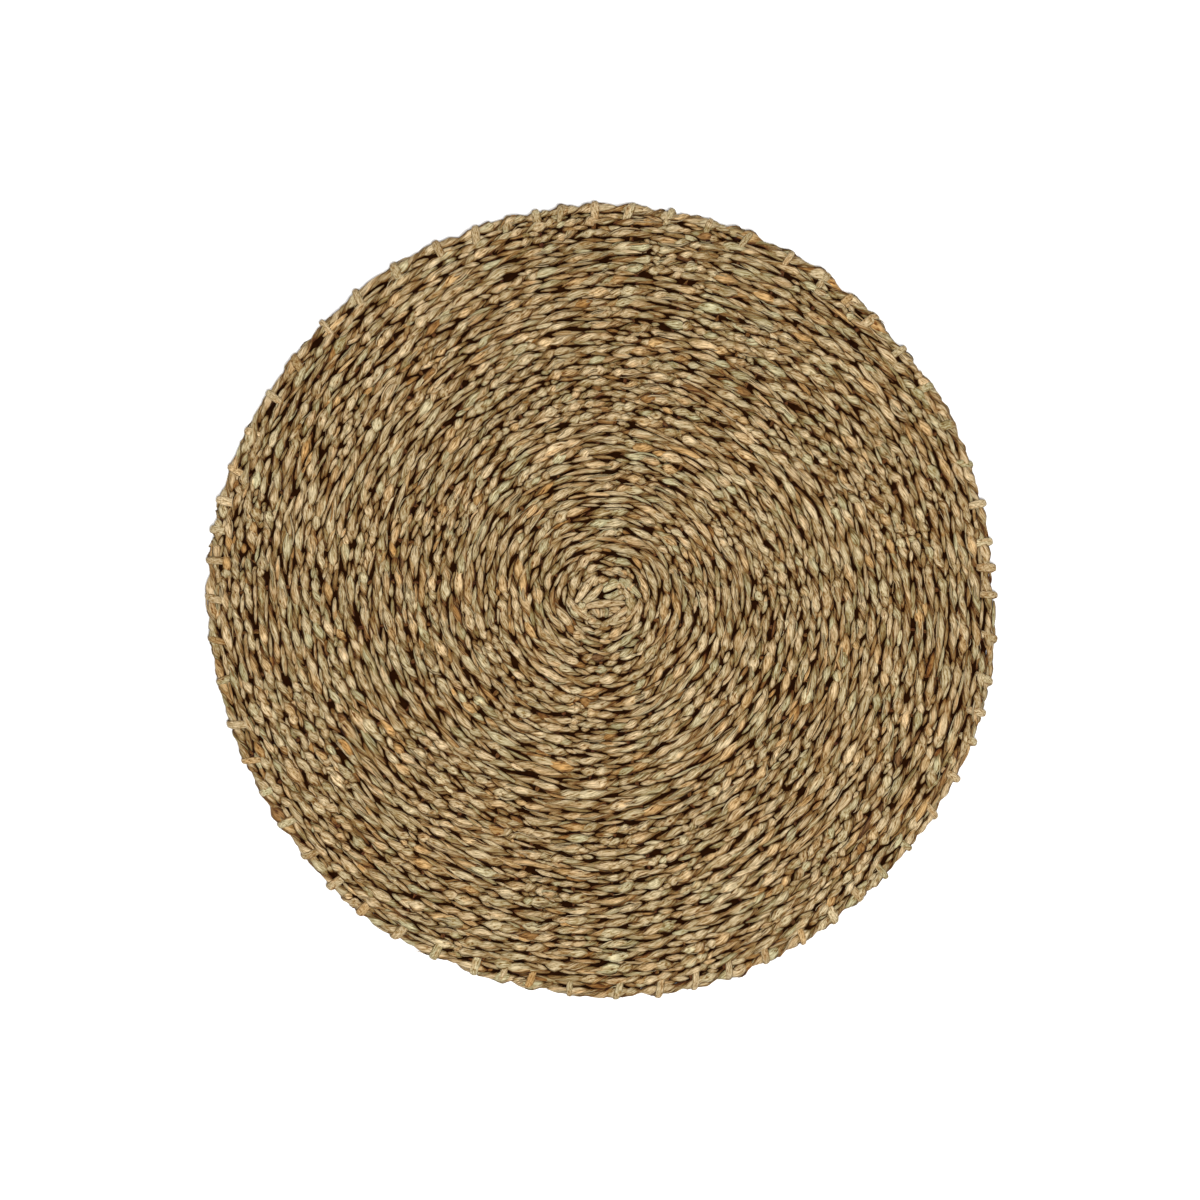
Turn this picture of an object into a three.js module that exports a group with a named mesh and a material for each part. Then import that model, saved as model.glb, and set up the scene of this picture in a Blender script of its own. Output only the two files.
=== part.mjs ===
// Round placemat twined from twisted seagrass.
//
// A pair of leaf strands is laid in one long spiral from the middle to the rim. Where the pair meets a spoke,
// one strand passes over it and the other under it, and the two change places before the next spoke, so every
// crossing shows one grain on top. Spokes are added as the rows grow longer, and at the rim the end of each
// spoke is looped over the last row and tucked in. It is one woven piece, so it is one solid: its underside is
// flat, and the rows, the crown of each grain and the rim loops are raised in its upper face.
//
// Millimetres, +Z up. The origin is under the middle of the mat, on the surface that it lies on.
import * as THREE from "three";

// Driving sizes.
const TURNS = 34; // times that the row goes round
const ROW_PITCH = 5.5; // from one turn of the row to the next
const FIRST_RADIUS = 2.6; // where the row starts
const START_ANGLE = 20; // degrees anticlockwise from +X, where the row starts and where it ends
const TAPER_TURNS = 0.25; // the last stretch of the row, which runs out into the rim
const TAPER_DEPTH = 0.85; // how much of a pitch it has lost at its end

const FIRST_SPOKES = 8; // spokes that leave the middle
const RIM_SPOKES = 64; // spokes that reach the rim
const GRAIN_LENGTH = 18.4; // along the row from one spoke to the next, kept by adding spokes
const SPOKE_EASE = 0.35; // share of the way that a spoke moves towards even spacing at each turn
const SPLIT_CHOICE = 0.25; // how freely the weaver picks the gap for a new spoke

const CROWN_HEIGHT = 7; // top of a grain, where it passes over a spoke
const CROSSING_HEIGHT = 6; // top of the row between two spokes, where the strands change places
const GROOVE_HEIGHT = 4.3; // between two turns of the row, down to the spoke
const MIDDLE_HEIGHT = 4.6; // the small hollow where the row starts
const HEIGHT_PLAY = 0.5; // how much lower than these sizes a grain may lie

// The rim's section: distance in from its outermost line, and height, from the upper edge to the flat foot.
const RIM_SECTION = [
  { name: "shoulder", inset: 1.3, height: 5.5 },
  { name: "nose", inset: 0, height: 3.3 },
  { name: "foot", inset: 1.7, height: 0 },
];
const RIM_OVERHANG = 3.1; // from the middle line of the last row to the rim between two loops
const LOOP_RISE = 1.6; // how far a spoke's loop stands out past that
const LOOP_PLAY = 1; // how much less it may stand out
const LOOP_WIDTH = 0.17; // half width of a loop, as a share of the way to the next spoke
const RIM_STEPS = [-0.36, -0.13, 0.13, 0.36]; // points of the rim round each spoke, in the same shares

// Slow waves in the outline: how many go round, how far they stand out, and where one of them peaks.
const RIM_WAVES = [
  { count: 4, height: 0.45, peak: -12 },
  { count: 6, height: 0.35, peak: -14 },
  { count: 7, height: 0.55, peak: -25 },
  { count: 10, height: 0.3, peak: -15 },
];

const TURN = 2 * Math.PI;
const radians = THREE.MathUtils.degToRad;

// A fixed number between 0 and 1 for each whole number, so the hand-made unevenness is the same every time.
function scatter(index) {
  const wave = Math.sin(index * 12.9898 + 78.233) * 43758.5453;
  return wave - Math.floor(wave);
}

// Distance of the row's middle line from the weave's centre, after a number of turns.
function rowRadius(turns) {
  const taper = THREE.MathUtils.smoothstep(turns, TURNS - TAPER_TURNS, TURNS);
  return FIRST_RADIUS + ROW_PITCH * (turns - TAPER_DEPTH * taper);
}

// A point of the mat at a distance from the weave's centre, in the direction that the row has after some turns.
function pointAt(radius, turns, height) {
  const angle = radians(START_ANGLE) + TURN * turns;
  return new THREE.Vector3(radius * Math.cos(angle), radius * Math.sin(angle), height);
}

// The spokes that each turn of the row crosses, as shares of the turn. The first stays at 0. When the mean gap
// grows past a grain's length, the widest gap gets a new spoke in its middle, and all of them ease apart.
function growSpokes() {
  const crossed = [];
  let spokes = Array.from({ length: FIRST_SPOKES }, (_, index) => index / FIRST_SPOKES);
  for (let turn = 0; turn < TURNS; turn++) {
    const wanted = Math.min(RIM_SPOKES, (TURN * rowRadius(turn + 0.5)) / GRAIN_LENGTH);
    while (spokes.length < wanted) {
      const gaps = spokes.map((share, index) => {
        const next = index + 1 < spokes.length ? spokes[index + 1] : 1;
        return (next - share) * (1 + SPLIT_CHOICE * scatter(100 * turn + index));
      });
      const widest = gaps.indexOf(Math.max(...gaps));
      const next = widest + 1 < spokes.length ? spokes[widest + 1] : 1;
      spokes.splice(widest + 1, 0, (spokes[widest] + next) / 2);
    }
    spokes = spokes.map((share, index) => {
      if (index === 0) {
        return share;
      }
      const next = index + 1 < spokes.length ? spokes[index + 1] : 1;
      return share + SPOKE_EASE * ((spokes[index - 1] + next) / 2 - share);
    });
    crossed.push(spokes);
  }
  return crossed;
}

// The outline's distance from the weave's centre: it follows the last turn of the row, with its slow waves.
function rimRadius(share) {
  const angle = START_ANGLE + 360 * share;
  const waves = RIM_WAVES.reduce(
    (sum, { count, height, peak }) => sum + height * Math.cos(radians(count * (angle - peak))),
    0,
  );
  return rowRadius(TURNS - 1 + share) + RIM_OVERHANG + waves;
}

// The mesh under construction: a list of points, each with its place along the row, and a list of triangles.
const points = [];
const triangles = [];

function addPoint(turns, position) {
  points.push(position);
  return { turns, index: points.length - 1 };
}

// Joins two lines of points that run anticlockwise side by side, stepping to whichever next point comes first.
// The offset is how many turns the outer line is further along the row.
function stitch(inner, outer, offset = 0) {
  let i = 0;
  let j = 0;
  while (i < inner.length - 1 || j < outer.length - 1) {
    const innerNext = i < inner.length - 1 ? inner[i + 1].turns + offset : Infinity;
    const outerNext = j < outer.length - 1 ? outer[j + 1].turns : Infinity;
    if (innerNext <= outerNext) {
      triangles.push([inner[i].index, outer[j].index, inner[i + 1].index]);
      i += 1;
    } else {
      triangles.push([outer[j].index, outer[j + 1].index, inner[i].index]);
      j += 1;
    }
  }
}

// The row's middle line, high over each spoke and lower between spokes, and the groove outside it.
function layRow(crossings) {
  const ridge = [];
  const groove = [];
  crossings.forEach((turns, index) => {
    const play = HEIGHT_PLAY * scatter(index);
    ridge.push(addPoint(turns, pointAt(rowRadius(turns), turns, CROWN_HEIGHT - play)));
    if (turns <= TURNS - 1) {
      const between = (rowRadius(turns) + rowRadius(turns + 1)) / 2;
      const depth = GROOVE_HEIGHT - HEIGHT_PLAY * scatter(index + 0.5);
      groove.push(addPoint(turns, pointAt(between, turns, depth)));
    }
    if (index + 1 < crossings.length) {
      const halfway = (turns + crossings[index + 1]) / 2;
      const height = CROSSING_HEIGHT - HEIGHT_PLAY * scatter(index + 0.25);
      ridge.push(addPoint(halfway, pointAt(rowRadius(halfway), halfway, height)));
    }
  });
  return { ridge, groove };
}

// One line of the rim all the way round, with a bump at each spoke's loop. Its last point is its first.
function layRimLine(spokes, { inset, height }) {
  const line = [];
  spokes.forEach((share, spoke) => {
    const before = share - (spoke > 0 ? spokes[spoke - 1] : spokes[spokes.length - 1] - 1);
    const after = (spoke + 1 < spokes.length ? spokes[spoke + 1] : 1) - share;
    const rise = LOOP_RISE - LOOP_PLAY * scatter(spoke + 0.75);
    RIM_STEPS.forEach((step) => {
      const place = share + step * (step < 0 ? before : after);
      const bump = rise * Math.exp(-((step / LOOP_WIDTH) ** 2));
      const radius = rimRadius(THREE.MathUtils.euclideanModulo(place, 1)) + bump - inset;
      line.push(addPoint(place, pointAt(radius, place, height)));
    });
  });
  line.push({ turns: line[0].turns + 1, index: line[0].index });
  return line;
}

function weaveMat() {
  const spokeTurns = growSpokes();
  const crossings = spokeTurns.flatMap((spokes, turn) => spokes.map((share) => turn + share));
  crossings.push(TURNS);
  const { ridge, groove } = layRow(crossings);

  // From the middle out: the first turn closed round a small hollow, then row, groove, row to the last turn.
  const firstTurn = ridge.filter(({ turns }) => turns <= 1);
  const middle = [addPoint(0, pointAt(0, 0, MIDDLE_HEIGHT))];
  stitch(middle, [...firstTurn, groove[0], firstTurn[0]]);
  stitch(ridge.filter(({ turns }) => turns <= TURNS - 1), groove);
  stitch(groove, ridge.filter(({ turns }) => turns >= 1), 1);

  // The last turn carries the rim, which goes over its shoulder and nose to the flat foot.
  const lastTurn = ridge.filter(({ turns }) => turns >= TURNS - 1);
  const edge = [...lastTurn, groove[groove.length - 1], lastTurn[0]].map(({ turns, index }, place) => ({
    turns: place < lastTurn.length ? turns - (TURNS - 1) : 1,
    index,
  }));
  const rim = RIM_SECTION.map((section) => layRimLine(spokeTurns[TURNS - 1], section));
  [edge, ...rim].forEach((line, place, lines) => {
    if (place > 0) {
      stitch(lines[place - 1], line);
    }
  });

  // The flat underside.
  const under = addPoint(0, pointAt(0, 0, 0)).index;
  const foot = rim[rim.length - 1];
  foot.slice(1).forEach((corner, place) => triangles.push([under, corner.index, foot[place].index]));

  const geometry = new THREE.BufferGeometry().setFromPoints(points);
  geometry.setIndex(triangles.flat());
  geometry.computeBoundingBox();
  const centre = geometry.boundingBox.getCenter(new THREE.Vector3());
  geometry.translate(-centre.x, -centre.y, 0);
  geometry.computeVertexNormals();
  return geometry;
}

const seagrass = new THREE.MeshStandardMaterial({ color: 0x9a8255, roughness: 0.8, metalness: 0 });
const wovenMat = new THREE.Mesh(weaveMat(), seagrass);
wovenMat.name = "woven_mat";

const placemat = new THREE.Group();
placemat.add(wovenMat);

export default placemat;
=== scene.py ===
"""Looks of the round seagrass placemat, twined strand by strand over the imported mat.

The mat lies on z = 0 with its middle at the origin, in metres. A pair of twisted leaf strands runs in one
spiral from the middle to the rim. Over each spoke one strand of the pair passes on top and the other below,
and they change places before the next spoke. Spokes are added as the rows grow longer, and at the rim each
spoke's end is looped over the last row. The row and the spokes follow the same sizes as the solid.
"""

from __future__ import annotations

import logging
import math
from dataclasses import dataclass, field
from enum import Enum

import bpy
import numpy as np
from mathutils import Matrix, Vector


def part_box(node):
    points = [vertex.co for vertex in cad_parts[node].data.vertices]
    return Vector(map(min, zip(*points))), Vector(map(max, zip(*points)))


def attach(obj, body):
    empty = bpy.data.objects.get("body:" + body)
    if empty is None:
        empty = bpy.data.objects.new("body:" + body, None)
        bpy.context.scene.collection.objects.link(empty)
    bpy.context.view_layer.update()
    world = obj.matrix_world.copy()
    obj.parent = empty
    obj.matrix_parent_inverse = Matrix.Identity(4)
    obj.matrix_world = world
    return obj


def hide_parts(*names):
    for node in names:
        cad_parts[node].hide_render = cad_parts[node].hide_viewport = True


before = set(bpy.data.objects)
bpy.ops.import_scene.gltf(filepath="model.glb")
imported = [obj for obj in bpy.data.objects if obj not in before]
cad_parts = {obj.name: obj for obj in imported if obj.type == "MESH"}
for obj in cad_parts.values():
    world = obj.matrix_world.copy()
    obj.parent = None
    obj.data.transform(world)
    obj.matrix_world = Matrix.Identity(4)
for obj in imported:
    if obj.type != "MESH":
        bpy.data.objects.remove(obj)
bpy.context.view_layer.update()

MM = 0.001
TURN = 2.0 * math.pi
MAT_NODE = "woven_mat"
STRAND_MAP = "strand"
BAKE_MAP = "OFBake"

# The bake map's square: how much its area and its side are over the rows', and the empty edge of a row.
BAKE_ROW_SPARE = 1.12
BAKE_SIDE_SPARE = 1.04
BAKE_ROW_EDGE = 0.06

# Pixels across the photograph, and across the mat in it.
PICTURE_WIDTH = 1200.0
MAT_IN_PICTURE = 795.0

log = logging.getLogger("placemat")


class Face(Enum):
    """The side of the pair that a strand starts on."""

    UPPER = 0
    LOWER = 1


def scatter(index: np.ndarray | float) -> np.ndarray:
    """Fixed number between 0 and 1 for each index, as in the solid: the part after a large sine's point.

    Args:
        index: Any numbers, one for each result.

    Returns:
        The numbers, in the shape of index.
    """
    wave = np.sin(np.asarray(index, float) * 12.9898 + 78.233) * 43758.5453
    return wave - np.floor(wave)


def smoothstep(value: np.ndarray | float, low: float, high: float) -> np.ndarray:
    """Cubic ease from 0 at low to 1 at high, held outside them."""
    share = np.clip((np.asarray(value, float) - low) / (high - low), 0.0, 1.0)
    return share * share * (3.0 - 2.0 * share)


def between(ends: tuple[float, float], share: np.ndarray | float) -> np.ndarray | float:
    """The number at a share of the way from the first end to the second."""
    return ends[0] + (ends[1] - ends[0]) * share


def wander(along: np.ndarray, reach: float, seed: int, waves: int = 5, growth: float = 1.7) -> np.ndarray:
    """Slow hand-made drift: sines of unlike lengths and shifts, added and divided by their number's root.

    Args:
        along: Places along the strand.
        reach: Length of the shortest wave, in the same units.
        seed: Picks the lengths and shifts.
        waves: How many sines are added.
        growth: How much longer each wave may be than the one before it, in shortest waves.

    Returns:
        Values of about -1 to 1.
    """
    rng = np.random.default_rng(seed)
    lengths = reach * (1.0 + growth * rng.random(waves) * np.arange(1, waves + 1))
    shifts = TURN * rng.random(waves)
    total = np.sin(TURN * np.asarray(along, float)[..., None] / lengths + shifts)
    return total.sum(-1) / math.sqrt(waves)


def eased(along: np.ndarray, values: np.ndarray) -> np.ndarray:
    """Values that are given at whole numbers, with a cubic ease from each to the next.

    Args:
        along: Places between 0 and the last whole number.
        values: The value at each whole number.

    Returns:
        The value at each place.
    """
    low = np.clip(np.floor(along).astype(int), 0, len(values) - 2)
    share = smoothstep(along - low, 0.0, 1.0)
    return values[low] + (values[low + 1] - values[low]) * share


@dataclass
class MeshData:
    """Points and faces of one piece, with what its material reads.

    Attributes:
        points: Vertex places, n by 3.
        quads: Vertex numbers of the four-sided faces, anticlockwise from outside.
        triangles: Vertex numbers of the caps.
        quad_uv: Strand map of the quads' corners: along in crossings, round as a share of the girth.
        quad_run: For each quad, its length along the strand and the strand's girth there, in metres.
        tone: Leaf tone at each vertex, 0 green to 1 dark brown.
        light: Brightness of the leaf at each vertex: its own random lightness, times painted shade and
            painted highlights.
        facing: How far the skin faces up or down at each vertex, 0 for a flank and 1 for level.
    """

    points: np.ndarray
    quads: np.ndarray
    triangles: np.ndarray
    quad_uv: np.ndarray
    quad_run: np.ndarray
    tone: np.ndarray
    light: np.ndarray
    facing: np.ndarray

    @staticmethod
    def joined(parts: list[MeshData]) -> MeshData:
        """One mesh of many, with each part's vertex numbers moved past those before it.

        Args:
            parts: The meshes.

        Returns:
            All of them as one.
        """
        starts = np.cumsum([0] + [len(part.points) for part in parts[:-1]])
        return MeshData(
            points=np.concatenate([part.points for part in parts]),
            quads=np.concatenate([part.quads + start for part, start in zip(parts, starts)]),
            triangles=np.concatenate([part.triangles + start for part, start in zip(parts, starts)]),
            quad_uv=np.concatenate([part.quad_uv for part in parts]),
            quad_run=np.concatenate([part.quad_run for part in parts]),
            tone=np.concatenate([part.tone for part in parts]),
            light=np.concatenate([part.light for part in parts]),
            facing=np.concatenate([part.facing for part in parts]),
        )

    def bake_uv(self, sides: int) -> np.ndarray:
        """Lays every strand's surface flat, row under row, in a square with no overlap.

        The strands' lengths are laid end to end and cut into rows as long as the square's side. The side
        squared is the area of all rows, and some to spare. A quad's place is its distance along its row, and
        its own share of the row's height, less a narrow edge on both sides.

        Args:
            sides: Quads round each strand.

        Returns:
            A map value for each corner of each quad.
        """
        lengths, girths = self.quad_run[::sides].T
        side = math.sqrt(lengths.sum() * girths.max() * BAKE_ROW_SPARE) * BAKE_SIDE_SPARE
        starts = np.cumsum(lengths) - lengths
        row = np.floor(starts / side)
        left = starts - row * side
        width = side + lengths.max()
        low_u = np.repeat(left / width, sides)
        high_u = np.repeat((left + lengths) / width, sides)
        height = 1.0 / (row.max() + 1.0)
        base_v = np.repeat(row * height, sides)
        inner = 1.0 - 2.0 * BAKE_ROW_EDGE
        low_v = base_v + height * (BAKE_ROW_EDGE + inner * self.quad_uv[:, 0, 1])
        high_v = base_v + height * (BAKE_ROW_EDGE + inner * self.quad_uv[:, 1, 1])
        corners_u = np.stack([low_u, low_u, high_u, high_u], 1)
        corners_v = np.stack([low_v, high_v, high_v, low_v], 1)
        return np.stack([corners_u, corners_v], -1)

    def to_object(self, name: str, sides: int) -> bpy.types.Object:
        """Makes the Blender object, smooth shaded, with its maps and leaf values.

        Args:
            name: The piece's name.
            sides: Quads round each strand.

        Returns:
            The new object, at the origin.
        """
        mesh = bpy.data.meshes.new(name)
        corners = np.concatenate([self.quads.ravel(), self.triangles.ravel()]).astype(np.int32)
        sizes = np.concatenate([np.full(len(self.quads), 4), np.full(len(self.triangles), 3)])
        starts = np.concatenate([[0], np.cumsum(sizes)[:-1]]).astype(np.int32)
        mesh.vertices.add(len(self.points))
        mesh.vertices.foreach_set("co", self.points.astype(np.float32).ravel())
        mesh.loops.add(len(corners))
        mesh.loops.foreach_set("vertex_index", corners)
        mesh.polygons.add(len(sizes))
        mesh.polygons.foreach_set("loop_start", starts)
        mesh.polygons.foreach_set("use_smooth", np.ones(len(sizes), bool))
        cap_uv = np.zeros((self.triangles.size, 2))
        for map_name, uv in ((STRAND_MAP, self.quad_uv), (BAKE_MAP, self.bake_uv(sides))):
            layer = mesh.uv_layers.new(name=map_name)
            values = np.concatenate([uv.reshape(-1, 2), cap_uv]).astype(np.float32)
            layer.uv.foreach_set("vector", values.ravel())
        for key, values in (("leaf_tone", self.tone), ("leaf_light", self.light)):
            attribute = mesh.attributes.new(key, "FLOAT", "POINT")
            attribute.data.foreach_set("value", values.astype(np.float32))
        mesh.update()
        mesh.validate()
        piece = bpy.data.objects.new(name, mesh)
        bpy.context.scene.collection.objects.link(piece)
        return piece


@dataclass
class Course:
    """The way that a strand takes, with its section's size and direction at each step.

    Attributes:
        path: Middle line, n by 3.
        outward: Rough direction of the strand's flat outer side at each step, n by 3.
        half_width: Half the section's width at each step.
        half_height: Half its height at each step.
        turned: Twist of the section at each step, in radians.
        along: Strand map value at each step.
    """

    path: np.ndarray
    outward: np.ndarray
    half_width: np.ndarray
    half_height: np.ndarray
    turned: np.ndarray
    along: np.ndarray

    def frames(self) -> tuple[np.ndarray, np.ndarray]:
        """Unit vectors across the section's width and out of its flat side, at each step.

        The second is the rough direction less its part along the path. The first is the cross product of the
        second with the path's direction.

        Returns:
            The vectors across and the vectors outwards, n by 3 each.
        """
        tangent = np.gradient(self.path, axis=0)
        tangent /= np.linalg.norm(tangent, axis=1, keepdims=True)
        normal = self.outward - (self.outward * tangent).sum(1, keepdims=True) * tangent
        normal /= np.linalg.norm(normal, axis=1, keepdims=True)
        return np.cross(normal, tangent), normal

    def beside(self, angle: np.ndarray, reach: np.ndarray) -> tuple[np.ndarray, np.ndarray]:
        """A line on or off the strand's skin, and the direction away from the strand there.

        Args:
            angle: Where round the section the line runs at each step, in radians from across.
            reach: Its distance from the middle line at each step, as a share of the skin's.

        Returns:
            The points and the directions.
        """
        across, normal = self.frames()
        wide = (self.half_width * np.cos(angle))[:, None]
        high = (self.half_height * np.sin(angle))[:, None]
        away = across * (np.cos(angle) / self.half_width)[:, None]
        away = away + normal * (np.sin(angle) / self.half_height)[:, None]
        away /= np.linalg.norm(away, axis=1, keepdims=True)
        return self.path + (across * wide + normal * high) * reach[:, None], away


def sweep(course: Course, profile: np.ndarray, tone: np.ndarray, light: np.ndarray) -> MeshData:
    """Carries a leaf strand's section along its course and closes both ends.

    A ring's point is the path's point, plus the side vector times half the width and the cosine, plus the
    outward vector times half the height and the sine, of the point's angle and the twist, all times the
    profile at that point. Each end is closed with a fan of triangles round the path's last point.

    Args:
        course: The strand's course.
        profile: Share of the ellipse's radius for each step and side, n by sides.
        tone: Leaf tone for each step and side.
        light: Leaf brightness for each step and side.

    Returns:
        The closed strand.
    """
    steps, sides = profile.shape
    path = course.path
    across, normal = course.frames()
    angle = TURN * np.arange(sides) / sides + course.turned[:, None]
    wide = (course.half_width[:, None] * np.cos(angle) * profile)[..., None]
    high = (course.half_height[:, None] * np.sin(angle) * profile)[..., None]
    rings = path[:, None, :] + across[:, None, :] * wide + normal[:, None, :] * high
    points = np.concatenate([rings.reshape(-1, 3), path[:1], path[-1:]])
    slope = across[:, None, :] * (np.cos(angle) / course.half_width[:, None])[..., None]
    slope = slope + normal[:, None, :] * (np.sin(angle) / course.half_height[:, None])[..., None]
    facing = np.abs(slope[..., 2]) / np.linalg.norm(slope, axis=2)

    step, side = np.meshgrid(np.arange(steps - 1), np.arange(sides), indexing="ij")
    following = (side + 1) % sides
    quads = np.stack(
        [
            step * sides + side,
            step * sides + following,
            (step + 1) * sides + following,
            (step + 1) * sides + side,
        ],
        -1,
    ).reshape(-1, 4)
    this = np.arange(sides)
    after = (this + 1) % sides
    first = np.stack([np.full(sides, steps * sides), after, this], 1)
    last_ring = (steps - 1) * sides
    last = np.stack([np.full(sides, steps * sides + 1), last_ring + this, last_ring + after], 1)

    low_u, high_u = course.along[step], course.along[step + 1]
    low_v, high_v = side / sides, (side + 1) / sides
    corners_u = np.stack([low_u, low_u, high_u, high_u], -1)
    corners_v = np.stack([low_v, high_v, high_v, low_v], -1)
    lengths = np.linalg.norm(np.diff(path, axis=0), axis=1)
    girths = math.pi * (course.half_width + course.half_height)[:-1]
    return MeshData(
        points=points,
        quads=quads,
        triangles=np.concatenate([first, last]),
        quad_uv=np.stack([corners_u, corners_v], -1).reshape(-1, 4, 2),
        quad_run=np.repeat(np.stack([lengths, girths], 1), sides, axis=0),
        tone=np.concatenate([tone.ravel(), tone[0, :1], tone[-1, :1]]),
        light=np.concatenate([light.ravel(), light[0, :1], light[-1, :1]]),
        facing=np.concatenate([facing.ravel(), [0.0, 0.0]]),
    )


class Dye(Enum):
    """A kind of leaf: the share of leaves up to and with it, its lowest and its highest tone."""

    GREENISH = (0.14, 0.06, 0.22)
    TAN = (0.84, 0.24, 0.52)
    GOLDEN = (0.975, 0.52, 0.68)
    RUST = (0.995, 0.72, 0.84)
    BROWN = (1.01, 0.90, 1.00)

    @staticmethod
    def pick_tones(rng: np.random.Generator, count: int) -> np.ndarray:
        """Draws a kind for each leaf, and a tone between the kind's lowest and highest.

        Args:
            rng: Draws the numbers.
            count: How many leaves.

        Returns:
            The leaves' tones.
        """
        draw = rng.random(count)
        spot = rng.random(count)
        tones = np.zeros(count)
        reached = 0.0
        for kind in Dye:
            upto, low, high = kind.value
            chosen = (draw >= reached) & (draw < upto)
            tones[chosen] = between((low, high), spot[chosen])
            reached = upto
        return tones


@dataclass
class LeafDye:
    """How the leaves of a strand differ in tone and brightness.

    Attributes:
        seed: Picks the leaves.
        patch: Mean length of a leaf that shows, in crossings.
        spread: How unlike two leaves are in brightness.
        ends_at: Where between two spokes a leaf may end, as a share of the way.
        shortest: Length of the shortest leaf, in patches.
        stretch: How much longer the longest leaf is, in patches.
    """

    seed: int
    patch: float = 2.2
    spread: float = 0.20
    ends_at: float = 0.5
    shortest: float = 0.35
    stretch: float = 1.3

    def leaves(self, along: np.ndarray, sides: int, leaf_count: int) -> tuple[np.ndarray, np.ndarray]:
        """Tone and brightness of each leaf along a strand, for each step and side.

        Each leaf keeps its values for a patch of random length that ends where the leaf is hidden, and then
        another leaf takes its place.

        Args:
            along: Places along the strand, in crossings.
            sides: Points round the section.
            leaf_count: Leaves that share the section.

        Returns:
            Two arrays, steps by sides.
        """
        rng = np.random.default_rng(self.seed)
        tones = np.empty((len(along), sides))
        lights = np.empty((len(along), sides))
        reach = along[-1] - along[0] + 2.0 * self.patch
        of_side = np.arange(sides) * leaf_count // sides
        for leaf in range(leaf_count):
            count = int(3.0 * reach / self.patch) + 4
            lengths = self.patch * (self.shortest + self.stretch * rng.random(count))
            cuts = along[0] - self.patch + np.cumsum(lengths)
            patch = np.searchsorted(np.floor(cuts) + self.ends_at, along)
            tone = Dye.pick_tones(rng, count + 1)[patch]
            light = (1.0 + self.spread * rng.standard_normal(count + 1))[patch]
            tones[:, of_side == leaf] = tone[:, None]
            lights[:, of_side == leaf] = light[:, None]
        return tones, lights


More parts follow.
